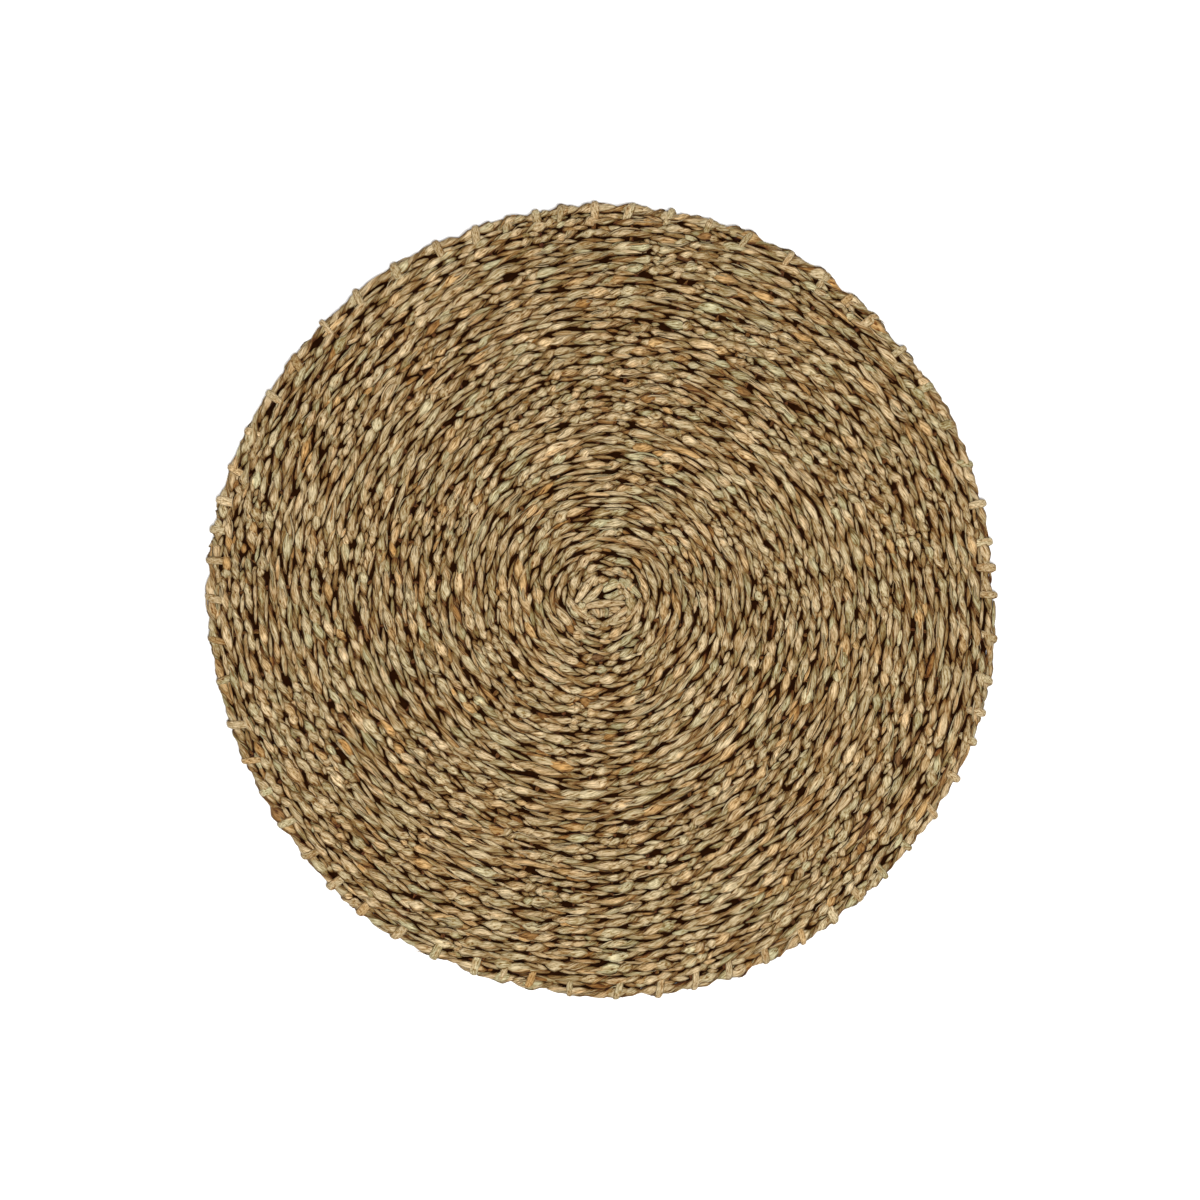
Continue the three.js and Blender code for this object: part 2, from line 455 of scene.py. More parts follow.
@dataclass
class WeavePlan:
    """The spiral row and its spokes, in metres from the weave's centre and in turns along the row.

    Attributes:
        outline_radius: Mean radius of the mat, out to its loops.
        thickness: Height of the mat.
        turns: Times that the row goes round.
        first_radius: Where the row starts.
        start_angle: Where the row starts and ends, in degrees anticlockwise from +X.
        taper_turns: The last stretch of the row, which runs out into the rim.
        taper_depth: How much of a pitch it has lost at its end.
        first_spokes: Spokes that leave the middle.
        rim_spokes: Spokes that reach the rim.
        grain_share: A grain's length as a share of the outline's radius.
        spoke_ease: Share of the way that a spoke moves towards even spacing at each turn.
        split_choice: How freely the weaver picks the gap for a new spoke.
        rim_overhang: From the last row's middle line to the rim between two loops.
        loop_rise: How far a loop stands out past that.
        crossing_slip: How far the strands cross a spoke off its place, as a share of the way to the next.
        crossing_seed: Picks how far each crossing is off.
        rim_waves: Slow waves of the outline: how many, how high, and the angle of a peak in degrees.
        hand_drift: How far a wave of the hand's drift moves the row off its spiral.
        hand_waves: The hand's waves: how many a turn, and their shift at each turn and at the start.
        outline_points: Points of the outline that its middle is worked out from.
        spokes: For each turn, where it crosses its spokes, as shares of the turn.
        spoke_names: For each turn, the number of each spoke that it crosses.
    """

    outline_radius: float
    thickness: float
    turns: int = 34
    first_radius: float = 2.6 * MM
    start_angle: float = 20.0
    taper_turns: float = 0.25
    taper_depth: float = 0.85
    first_spokes: int = 8
    rim_spokes: int = 64
    grain_share: float = 0.0969
    spoke_ease: float = 0.35
    split_choice: float = 0.25
    rim_overhang: float = 3.1 * MM
    loop_rise: float = 1.6 * MM
    crossing_slip: float = 0.17
    crossing_seed: int = 41
    rim_waves: tuple[tuple[int, float, float], ...] = (
        (4, 0.45 * MM, -12.0),
        (6, 0.35 * MM, -14.0),
        (7, 0.55 * MM, -25.0),
        (10, 0.30 * MM, -15.0),
    )
    hand_drift: float = 0.30 * MM
    hand_waves: tuple[tuple[int, float, float], ...] = ((3, 0.21, 0.0), (5, -0.37, 1.0), (8, 0.60, 2.0))
    outline_points: int = 1440
    spokes: list[np.ndarray] = field(default_factory=list)
    spoke_names: list[np.ndarray] = field(default_factory=list)

    def __post_init__(self) -> None:
        """Works out the pitch, the spokes, the crossings and the place of the weave's centre."""
        mean_loop = 0.5 * self.loop_rise
        room = self.outline_radius - self.first_radius - self.rim_overhang - mean_loop
        self.row_pitch = room / (self.turns - 0.5)
        self.grow_spokes()
        whole = [turn + shares for turn, shares in enumerate(self.spokes)]
        even = np.append(np.concatenate(whole), float(self.turns))
        slips = np.clip(np.random.default_rng(self.crossing_seed).standard_normal(len(even)), -2.0, 2.0)
        self.crossings = even + self.crossing_slip * slips * np.gradient(even)
        round_it = np.linspace(0.0, 1.0, self.outline_points, endpoint=False)
        rim = self.place(self.rim_radius(round_it), self.turns - 1 + round_it, 0.0, centred=False)
        self.centre = -(rim.max(0) + rim.min(0)) / 2.0

    def row_radius(self, turns: np.ndarray | float) -> np.ndarray:
        """Distance of the row's middle line from the weave's centre: a pitch a turn, less the taper."""
        taper = smoothstep(turns, self.turns - self.taper_turns, self.turns)
        return self.first_radius + self.row_pitch * (np.asarray(turns, float) - self.taper_depth * taper)

    def slow_waves(self, turns: np.ndarray | float) -> np.ndarray:
        """How far the outline's slow waves stand out at places along the row: a sum of cosines of the angle.

        Args:
            turns: Places along the row.

        Returns:
            The distances, outwards.
        """
        angle = self.start_angle + 360.0 * np.asarray(turns, float)
        waves = np.zeros_like(angle)
        for count, height, peak in self.rim_waves:
            waves = waves + height * np.cos(np.radians(count * (angle - peak)))
        return waves

    def rim_radius(self, share: np.ndarray) -> np.ndarray:
        """The outline between loops: the last turn's middle line, the overhang and the slow waves."""
        return self.row_radius(self.turns - 1 + share) + self.rim_overhang + self.slow_waves(share)

    def drift(self, turns: np.ndarray | float) -> np.ndarray:
        """How far the row wanders off its spiral.

        The hand lets it wander by a sum of sines of the direction that shift from turn to turn. They grow
        over turns 1 to 4 and fade from 3 to 1.2 turns before the end. The row takes on the outline's slow
        waves from 6 turns to 1 turn before the end. All of this is by cubic eases.

        Args:
            turns: Places along the row.

        Returns:
            The distances, outwards.
        """
        angle = TURN * np.asarray(turns, float)
        waves = np.zeros_like(angle)
        for count, shift, start in self.hand_waves:
            waves = waves + np.sin(count * angle + shift * turns + start)
        grown = smoothstep(turns, 1.0, 4.0)
        faded = smoothstep(turns, self.turns - 3.0, self.turns - 1.2)
        outer = smoothstep(turns, self.turns - 6.0, self.turns - 1.0)
        return self.hand_drift * (grown * (1.0 - faded)) * waves + outer * self.slow_waves(turns)

    def directions(self, turns: np.ndarray) -> tuple[np.ndarray, np.ndarray]:
        """Unit vectors away from the weave's centre and along the row: the angle's cosine and sine.

        Args:
            turns: Places along the row.

        Returns:
            The vectors away from the centre and those along the row, with a last axis of 3.
        """
        angle = math.radians(self.start_angle) + TURN * np.asarray(turns, float)
        zero = np.zeros_like(angle)
        away = np.stack([np.cos(angle), np.sin(angle), zero], -1)
        along = np.stack([-np.sin(angle), np.cos(angle), zero], -1)
        return away, along

    def place(
        self,
        radius: np.ndarray,
        turns: np.ndarray,
        height: np.ndarray | float,
        centred: bool = True,
    ) -> np.ndarray:
        """Points at distances from the weave's centre, in the row's direction there, at heights.

        Args:
            radius: Distances from the centre.
            turns: Places along the row, which give the directions.
            height: Heights over the table.
            centred: Whether the points are moved so that the outline is centred on the origin.

        Returns:
            Points, in the shape of radius with a last axis of 3.
        """
        away, _ = self.directions(turns)
        points = away * np.asarray(radius, float)[..., None]
        points[..., 2] = height
        if centred:
            points[..., :2] += self.centre[:2]
        return points

    def depth_shade(
        self,
        points: np.ndarray,
        facing: np.ndarray,
        deepest: float = 0.30,
        flank: float = 0.30,
    ) -> np.ndarray:
        """Painted shade: how much darker the leaves are painted deep in the weave and on upright skin.

        The share is the deepest value at half height and 1 from 2 mm above or below it, with a cubic ease
        between, times a share for upright skin. Both go back to 1 from 0.3 to 2 mm outside the middle line
        of the last row.

        Args:
            points: Places on the strands.
            facing: How far the skin faces up or down there.
            deepest: The share at half height, where the painted shade is darkest.
            flank: The share of upright skin, painted shade on the flanks.

        Returns:
            A painted shade factor for each point's brightness.
        """
        flat = points[:, :2] - self.centre[:2]
        angle = np.arctan2(flat[:, 1], flat[:, 0]) - math.radians(self.start_angle)
        last = self.row_radius(self.turns - 1 + np.mod(angle / TURN, 1.0))
        outside = smoothstep(np.hypot(flat[:, 0], flat[:, 1]) - last, 0.3 * MM, 2.0 * MM)
        depth = np.abs(points[:, 2] - self.thickness / 2.0)
        unshaded = deepest + (1.0 - deepest) * smoothstep(depth, 0.1 * MM, 2.0 * MM)
        flank_shade = flank + (1.0 - flank) * smoothstep(facing, 0.15, 0.80)
        return 1.0 - (1.0 - unshaded * flank_shade) * (1.0 - outside)

    def grow_spokes(self) -> None:
        """Fills in the spokes that each turn crosses, as shares of the turn, with a number for each spoke.

        When the mean gap grows past a grain's length, the widest gap gets a new spoke in its middle, and
        all spokes but the first ease towards even spacing.
        """
        grain = self.grain_share * self.outline_radius
        shares = np.arange(self.first_spokes) / self.first_spokes
        names = np.arange(self.first_spokes)
        for turn in range(self.turns):
            wanted = min(self.rim_spokes, TURN * float(self.row_radius(turn + 0.5)) / grain)
            while len(shares) < wanted:
                gaps = np.diff(np.append(shares, 1.0))
                choice = gaps * (1.0 + self.split_choice * scatter(100 * turn + np.arange(len(gaps))))
                widest = int(np.argmax(choice))
                shares = np.insert(shares, widest + 1, shares[widest] + gaps[widest] / 2.0)
                names = np.insert(names, widest + 1, len(names))
            middles = (shares[:-2] + shares[2:]) / 2.0
            middles = np.append(middles, (shares[-2] + 1.0) / 2.0)
            shares = np.append(shares[:1], shares[1:] + self.spoke_ease * (middles - shares[1:]))
            self.spokes.append(shares)
            self.spoke_names.append(names)


@dataclass(frozen=True)
class Ply:
    """One of the leaves that are twisted into a strand.

    Attributes:
        aside: How far its middle line swings to the sides of the strand's, as a share of the half width.
        above: How far it swings over and under it, as a share of the strand's half height.
        width: Its half width, as a share of the strand's.
        height: Its half height, as a share of the strand's.
        start: Where round the strand it starts, in turns.
    """

    aside: float
    above: float
    width: float
    height: float
    start: float


@dataclass(frozen=True)
class HandPlay:
    """How far a hand-laid strand strays for each standard deviation of its drawn numbers.

    Attributes:
        lift: In its height over a spoke, as a share.
        lift_most: Deviations past which it isn't lifted further.
        width: In its width, as a share.
        aside: To the side of the row.
        slip: Along the row, as a share of the way to the next spoke.
        twist: In the turning of its leaves, in turns.
    """

    lift: float = 0.08
    lift_most: float = 0.8
    width: float = 0.14
    aside: float = 0.54 * MM
    slip: float = 0.07
    twist: float = 0.16


@dataclass
class Weft:
    """The pair of twisted leaf strands, twined round the spokes.

    Attributes:
        plan: Where the row runs.
        piece_count: Pieces that the spiral is cut into.
        steps: Rings of points for each crossing.
        sides: Points in a ring.
        half_width: Half the width of a strand where it lies flat over a spoke.
        half_height: Half its height there.
        cover: Height of the leaves over a strand's middle line there, in half heights.
        pinch: Share of its width that it keeps between two spokes.
        squeeze: Share of its height that it keeps there.
        crowded: Share of its height that it keeps where the row runs out.
        sway: How far a strand swings to each side of the row's middle line between spokes.
        stay: How long a strand stays high over a spoke before it dives.
        roll: How much of a strand's turning waits until it dives between two spokes.
        twist: Turns of the leaves round the strand for each crossing.
        tilt: How far a leaf leans out of the strand's flat side, in radians.
        narrow: Share of its width that a ply has where it passes the strand's side, on edge.
        hollow_shade: Share of its light that a leaf keeps where it touches the other leaves of its strand:
            painted shade.
        plies: The leaves of a strand.
        rim_shift: How far the last turn lies out from its middle line.
        rim_sink: How much less the strands of the last turn rise.
        rim_swell: How much fatter they are.
        first_crossing: Where the pair comes out of the middle.
        floor_gap: How far the lowest leaves stay over the table.
        hand: How far the strands stray.
        play_seed: Picks their unevenness.
        play: Drawn unevenness of each strand at each crossing: height, width, two of side and slip.
    """

    plan: WeavePlan
    piece_count: int = 4
    steps: int = 11
    sides: int = 6
    half_width: float = 3.05 * MM
    half_height: float = 1.38 * MM
    cover: float = 1.12
    pinch: float = 0.80
    squeeze: float = 0.76
    crowded: float = 0.55
    sway: float = 0.72 * MM
    stay: float = 2.1
    roll: float = 0.65
    twist: float = -1.12
    tilt: float = 0.30
    narrow: float = 0.50
    hollow_shade: float = 0.50
    plies: tuple[Ply, ...] = (Ply(0.11, 0.44, 0.84, 0.68, 0.0), Ply(0.11, 0.44, 0.84, 0.68, 0.5))
    rim_shift: float = 0.30 * MM
    rim_sink: float = 0.22
    rim_swell: float = 0.10
    first_crossing: int = 8
    floor_gap: float = 0.02 * MM
    hand: HandPlay = HandPlay()
    play_seed: int = 77
    play: np.ndarray = field(init=False, repr=False)

    def __post_init__(self) -> None:
        """Draws the unevenness of both strands: five numbers for each crossing, within two deviations."""
        size = (len(Face), 5, len(self.plan.crossings))
        self.play = np.clip(np.random.default_rng(self.play_seed).standard_normal(size), -2.0, 2.0)

    @staticmethod
    def seed(face: Face) -> int:
        """The number that picks a strand's unevenness."""
        return 1000 + 10000 * face.value

    def profile(self, along: np.ndarray, seed: int) -> np.ndarray:
        """Section of a ply: an ellipse whose radius wanders by 4% along each of its sides.

        Args:
            along: Places along the strand, in crossings.
            seed: Picks the unevenness.

        Returns:
            Shares of the ellipse's radius, steps by sides.
        """
        sway = np.stack([wander(along, 1.3, seed + side) for side in range(self.sides)], 1)
        return 1.0 + 0.04 * sway

    def course(self, face: Face, low: float, high: float, steps: int) -> Course:
        """The course of one strand of the pair between two places along the row.

        The strand turns round the pair's middle line by half a turn for each crossing. Its height follows
        the hyperbolic tangent of that angle's cosine times its stay, which holds it over the spokes, and it
        swings to the side by the sine times the sine's size. Its flat side faces away from the pair's middle
        line, by the same angle less half the sine of its double, times the roll. Between spokes its width and
        height shrink with the 0.6 power of the cosine. Where the row runs out it shrinks with the room that
        is left, and on the last turn the rim's own sizes ease in.

        Args:
            face: The side that the strand starts on.
            low: First crossing.
            high: Last crossing.
            steps: Steps for each crossing.

        Returns:
            The course.
        """
        plan = self.plan
        seed = self.seed(face)
        count = int(round((high - low) * steps)) + 1
        along = np.linspace(low, high, count)
        numbers = np.arange(len(plan.crossings))
        turns = np.interp(along, numbers, plan.crossings)
        phase = math.pi * (along + face.value)
        over = np.cos(phase)
        aside = np.sin(phase)
        lean = phase - self.roll * np.sin(2.0 * phase) / 2.0
        flat = np.abs(over) ** 0.6

        hand = self.hand
        play = self.play[face.value]
        lift_play = hand.lift * np.minimum(eased(along, play[0]), hand.lift_most)
        width_play = hand.width * eased(along, play[1])
        side_play = hand.aside * eased(2.0 * along, play[2:4].ravel())
        slip = hand.slip * eased(along, play[4])

        radius = plan.row_radius(turns)
        gap = np.minimum(plan.row_pitch, radius - plan.row_radius(turns - 1.0))
        room = np.where(turns > 1.0, gap / plan.row_pitch, 1.0)
        rim = smoothstep(turns, plan.turns - 1.1, plan.turns - 0.9)
        rise = plan.thickness / 2.0 - self.cover * self.half_height
        steep = np.tanh(self.stay * over) / math.tanh(self.stay)
        lift = rise * (1.0 - self.rim_sink * rim) * steep * (1.0 + lift_play)
        swing = -self.sway * aside * np.abs(aside) * room
        offset = swing + side_play + self.rim_shift * rim * room + plan.drift(turns)

        half_width = self.half_width * room * between((self.pinch, 1.0), flat)
        half_width = half_width * (1.0 + width_play) * (1.0 + self.rim_swell * rim)
        half_height = self.half_height * between((self.squeeze, 1.0), flat)
        half_height = half_height * between((self.crowded, 1.0), room)

        where = turns + slip * np.gradient(turns, along)
        path = plan.place(radius + offset, where, plan.thickness / 2.0 + lift)
        away, _ = plan.directions(turns)
        outward = -np.sin(lean)[:, None] * away
        outward[:, 2] = np.cos(lean)
        turned = TURN * (self.twist * along + hand.twist * wander(along, 2.3, seed + 50))
        return Course(path, outward, half_width, half_height, turned, along)

    def strand(self, face: Face, low: float, high: float) -> MeshData:
        """One strand of the pair between two places along the row.

        Args:
            face: The side that the strand starts on.
            low: First crossing.
            high: Last crossing.

        Returns:
            The closed strand.
        """
        course = self.course(face, low, high, self.steps)
        return MeshData.joined([self.leaf(course, face, number) for number in range(len(self.plies))])

    def leaf(self, strand: Course, face: Face, number: int) -> MeshData:
        """One ply of a strand, wound round the strand's middle line.

        Its middle line swings by its shares of the strand's section, at the strand's twist plus its own
        start. Its flat side is the strand's, tilted by a slow wander. It is widest over and under the
        strand, where it lies flat, and narrows by the 0.9 power of the twist's sine to its sides, so each
        stretch that shows is a lens. Its skin is painted darker, as painted shade where it lies against
        the other plies, with a cubic ease from 0.88 of the strand's ellipse in to 0.38 of it.

        Args:
            strand: The strand's course.
            face: The side that the strand starts on.
            number: Which ply.

        Returns:
            The closed ply.
        """
        ply = self.plies[number]
        seed = self.seed(face) + 400 * number
        along = strand.along
        across, normal = strand.frames()
        angle = strand.turned + TURN * ply.start
        path = strand.path + across * (ply.aside * strand.half_width * np.cos(angle))[:, None]
        path = path + normal * (ply.above * strand.half_height * np.sin(angle))[:, None]
        tilt = (self.tilt * wander(along, 1.1, seed + 60))[:, None]
        broad = between((self.narrow, 1.0), np.abs(np.sin(angle)) ** 0.9)
        course = Course(
            path,
            normal * np.cos(tilt) + across * np.sin(tilt),
            ply.width * strand.half_width * broad * (1.0 + 0.11 * wander(along, 0.9, seed + 70)),
            ply.height * strand.half_height,
            0.25 * wander(along, 1.7, seed + 80),
            along + 900.0 * number,
        )
        dye = LeafDye(seed + 90, patch=1.4, spread=0.12, ends_at=(0.25 + ply.start) % 1.0)
        tone, light = dye.leaves(abs(self.twist) * along, self.sides, 1)
        leaf = sweep(course, self.profile(along, seed), tone, light)
        off = leaf.points[:-2].reshape(len(along), self.sides, 3) - strand.path[:, None, :]
        aside = (off * across[:, None, :]).sum(2) / strand.half_width[:, None]
        above = (off * normal[:, None, :]).sum(2) / strand.half_height[:, None]
        unshaded = smoothstep(np.hypot(aside, above), 0.38, 0.88)
        # Painted shade: the ply is darker where it lies in against the other plies of its strand.
        leaf.light[:-2] *= between((self.hollow_shade, 1.0), unshaded).ravel()
        return leaf

    def build(self) -> list[bpy.types.Object]:
        """Makes the weft in pieces from the middle to the rim, each with its stretch of both strands.

        Returns:
            The pieces.
        """
        last = len(self.plan.crossings) - 1
        cuts = np.round(np.linspace(self.first_crossing, last, self.piece_count + 1))
        pieces = []
        for number, (low, high) in enumerate(zip(cuts[:-1], cuts[1:])):
            weft = MeshData.joined([self.strand(face, low, high) for face in Face])
            # Painted shade: darker deep in the weave and on the strands' upright flanks.
            weft.light = weft.light * self.plan.depth_shade(weft.points, weft.facing)
            weft.points[:, 2] = np.maximum(weft.points[:, 2], self.floor_gap)
            pieces.append(weft.to_object(f"weft_{number + 1}", self.sides))
        return pieces


@dataclass
class Spokes:
    """The strands that run out from the middle, between the upper and the lower strand of the pair.

    Attributes:
        plan: Where the spokes stand.
        sides: Points round a spoke.
        half_width: Half a spoke's width.
        half_height: Half its height.
        nearest: How near the weave's centre a spoke may start.
        tail: How far it starts before its first crossing, in row pitches.
        tip: How far it ends past its last crossing.
        light: Brightness of the spokes, painted dark as shade, since they lie hidden in the weave.
    """

    plan: WeavePlan
    sides: int = 6
    half_width: float = 1.5 * MM
    half_height: float = 1.05 * MM
    nearest: float = 5.0 * MM
    tail: float = 0.9
    tip: float = 1.6 * MM
    light: float = 0.28

    def spoke(self, name: int) -> MeshData:
        """One spoke, from the turn where it is added out to the rim, as a line through its crossings.

        Its angle and distance from the centre are those of its crossings, and even between them. Its section
        is an ellipse that wanders by 6% and turns by half a radian from each row to the next.

        Args:
            name: The spoke's number.

        Returns:
            The closed strand.
        """
        plan = self.plan
        turns = np.array(
            [
                turn + shares[names == name][0]
                for turn, (shares, names) in enumerate(zip(plan.spokes, plan.spoke_names))
                if name in names
            ]
        )
        radii = plan.row_radius(turns)
        begin = max(self.nearest, radii[0] - self.tail * plan.row_pitch)
        radii = np.concatenate([[begin], radii, [radii[-1] + self.tip]])
        turns = np.concatenate([turns[:1], turns, turns[-1:]])
        fine = np.linspace(0.0, len(radii) - 1.0, 2 * len(radii) - 1)
        numbers = np.arange(len(radii))
        angles = np.interp(fine, numbers, turns - np.arange(len(turns)).clip(1, len(turns) - 2))
        path = plan.place(np.interp(fine, numbers, radii), angles, plan.thickness / 2.0)
        up = np.tile([0.0, 0.0, 1.0], (len(fine), 1))
        profile = 1.0 + 0.06 * np.stack([wander(fine, 1.7, 400 + side) for side in range(self.sides)], 1)
        tone, light = LeafDye(5000 + name, patch=9.0).leaves(fine, self.sides, 4)
        wide = np.full(len(fine), self.half_width)
        high = np.full(len(fine), self.half_height)
        # self.light paints the spokes dark as shade in the weave.
        return sweep(Course(path, up, wide, high, 0.5 * fine, fine), profile, tone, self.light * light)

    def build(self) -> bpy.types.Object:
        """Makes all spokes as one piece."""
        spokes = [self.spoke(name) for name in range(len(self.plan.spokes[-1]))]
        return MeshData.joined(spokes).to_object("spokes", self.sides)


@dataclass
class RimLoops:
    """The ends of the spokes, folded round the last row and tucked in behind it.

    Attributes:
        plan: Where the spokes reach the rim.
        sides: Points round a loop's strand.
        steps: Rings along a loop.
        half_width: Half the width of the folded end.
        half_height: Half its thickness.
        sunk_share: Share of the loops whose top is drawn down between the grains.
        sunk: How far it is drawn down.
        rise_play: How much less than the plan's a loop may stand out, as a share.
        reach: How far in a loop goes over the row, shortest and longest, in row pitches.
        slant: How far along the row its inner end lies, least and most.
        size: Narrowest and widest loop, as shares of the half width.
        fold_pinch: Share of its width that a loop loses where it folds round the rim.
        fold_length: Length of that fold, as a share of the loop.
        fineness: Points for each ring, on the line that is rounded.
        rounding: How many of them on each side the running mean takes in.
        bulge: How deep the furrows between a loop's leaves are, as a share.
        light: Brightness of the loops.
    """

    plan: WeavePlan
    sides: int = 12
    steps: int = 26
    half_width: float = 2.30 * MM
    half_height: float = 1.00 * MM
    sunk_share: float = 0.35
    sunk: float = 0.6 * MM
    rise_play: float = 0.625
    reach: tuple[float, float] = (0.78, 1.13)
    slant: tuple[float, float] = (-1.0 * MM, 3.2 * MM)
    size: tuple[float, float] = (0.80, 1.25)
    fold_pinch: float = 0.30
    fold_length: float = 0.13
    fineness: int = 12
    rounding: int = 9
    bulge: float = 0.09
    light: float = 0.93

    def rounded(self, corners: np.ndarray) -> np.ndarray:
        """A smooth line past some corners: a running mean of fine points on the straight lines between them.

        Args:
            corners: The corners, one a row.

        Returns:
            A point for each ring of the loop, in the corners' columns.
        """
        fine = np.linspace(0.0, len(corners) - 1.0, self.fineness * self.steps)
        line = np.stack([np.interp(fine, np.arange(len(corners)), column) for column in corners.T], 1)
        half = self.rounding
        window = np.ones(2 * half + 1) / (2 * half + 1)
        padded = np.concatenate([np.repeat(line[:1], half, 0), line, np.repeat(line[-1:], half, 0)])
        line = np.stack([np.convolve(column, window, "valid") for column in padded.T], 1)
        return line[np.linspace(0, len(line) - 1, self.steps).astype(int)]

    def loop(self, number: int) -> MeshData:
        """One loop: a smooth line over the last row, round the rim and under the row again.

        The line goes past corners that are given as distance from the last row's middle line, height and
        how much of the slant they have. Its width shrinks by a bell curve where it folds round the rim, and
        all of it shrinks to its ends with the 0.6 power of a sine. Its section is an ellipse whose radius
        loses up to the bulge, by the cosine of four times the angle, and wanders by 5%.

        Args:
            number: The spoke's place round the rim.

        Returns:
            The closed strand.
        """
        plan = self.plan
        share = plan.spokes[-1][number]
        turn = plan.turns - 1 + share
        chance = np.random.default_rng(700 + number)
        rise = plan.loop_rise * (1.0 - self.rise_play * float(scatter(number + 0.75)))
        row = plan.row_radius(turn) + plan.drift(turn)
        nose = float(plan.rim_radius(np.array(share)) - row) + rise - self.half_height
        sunk = self.sunk if chance.random() < self.sunk_share else 0.0
        top = plan.thickness - 0.8 * self.half_height - sunk
        low = 1.05 * self.half_height
        reach = between(self.reach, chance.random()) * plan.row_pitch
        corners = np.array(
            [
                (-reach - 0.5 * MM, 0.45 * plan.thickness, 1.1),
                (-reach, 0.74 * plan.thickness, 1.0),
                (-0.55 * reach, top, 0.75),
                (0.10 * nose, top + 0.1 * MM, 0.4),
                (0.66 * nose, 0.84 * plan.thickness, 0.15),
                (nose, 0.55 * plan.thickness, 0.0),
                (0.80 * nose, 0.22 * plan.thickness, -0.1),
                (0.20 * nose, low, -0.35),
                (-0.5 * reach, low, -0.7),
                (-0.8 * reach, 0.25 * plan.thickness, -1.0),
                (-0.85 * reach, 0.45 * plan.thickness, -1.0),
            ]
        )
        line = self.rounded(corners)

        away, along = plan.directions(np.array([turn]))
        slant = between(self.slant, chance.random())
        middle = plan.place(np.array([row]), np.array([turn]), 0.0)
        path = middle + away * line[:, :1] + along * (slant * line[:, 2:])
        path[:, 2] = line[:, 1]
        centre = np.array([-0.3 * MM, plan.thickness / 2.0])
        out = line[:, :2] - centre
        outward = away * out[:, :1]
        outward[:, 2] = out[:, 1]
        outward /= np.linalg.norm(outward, axis=1, keepdims=True)

        steps = np.arange(self.steps, dtype=float)
        fold = (steps / (self.steps - 1) - 0.5) / self.fold_length
        ends = 0.45 + 0.55 * np.sin(math.pi * steps / (self.steps - 1)) ** 0.6
        round_it = np.arange(self.sides) / self.sides
        furrows = 1.0 - self.bulge * (1.0 + np.cos(TURN * 4.0 * round_it)) / 2.0
        profile = furrows * (1.0 + 0.05 * wander(steps, 9.0, 800 + number)[:, None])
        size = between(self.size, chance.random())
        tone, light = LeafDye(900 + number, patch=30.0, spread=0.12).leaves(steps, self.sides, 2)
        course = Course(
            path,
            outward,
            self.half_width * size * ends * (1.0 - self.fold_pinch * np.exp(-(fold**2))),
            self.half_height * ends,
            np.linspace(-0.25, 0.25, self.steps) + 0.7 * (chance.random() - 0.5),
            steps / 8.0 + 3.0 * number,
        )
        return sweep(course, profile, tone, self.light * light)

    def build(self) -> bpy.types.Object:
        """Makes all loops as one piece."""
        loops = [self.loop(number) for number in range(len(self.plan.spokes[-1]))]
        return MeshData.joined(loops).to_object("rim_loops", self.sides)


@dataclass(frozen=True)
class StartLeaf:
    """One of the leaves that fill the middle, seen from above.

    Attributes:
        points: Its first, middle and last point, in millimetres from the weave's centre, x and y.
        half_width: Half its width.
        height: Height of its middle.
        light: Brightness of its leaf: the lower leaves are painted darker as shade.
    """

    points: tuple[tuple[float, float], tuple[float, float], tuple[float, float]]
    half_width: float
    height: float
    light: float = 1.0


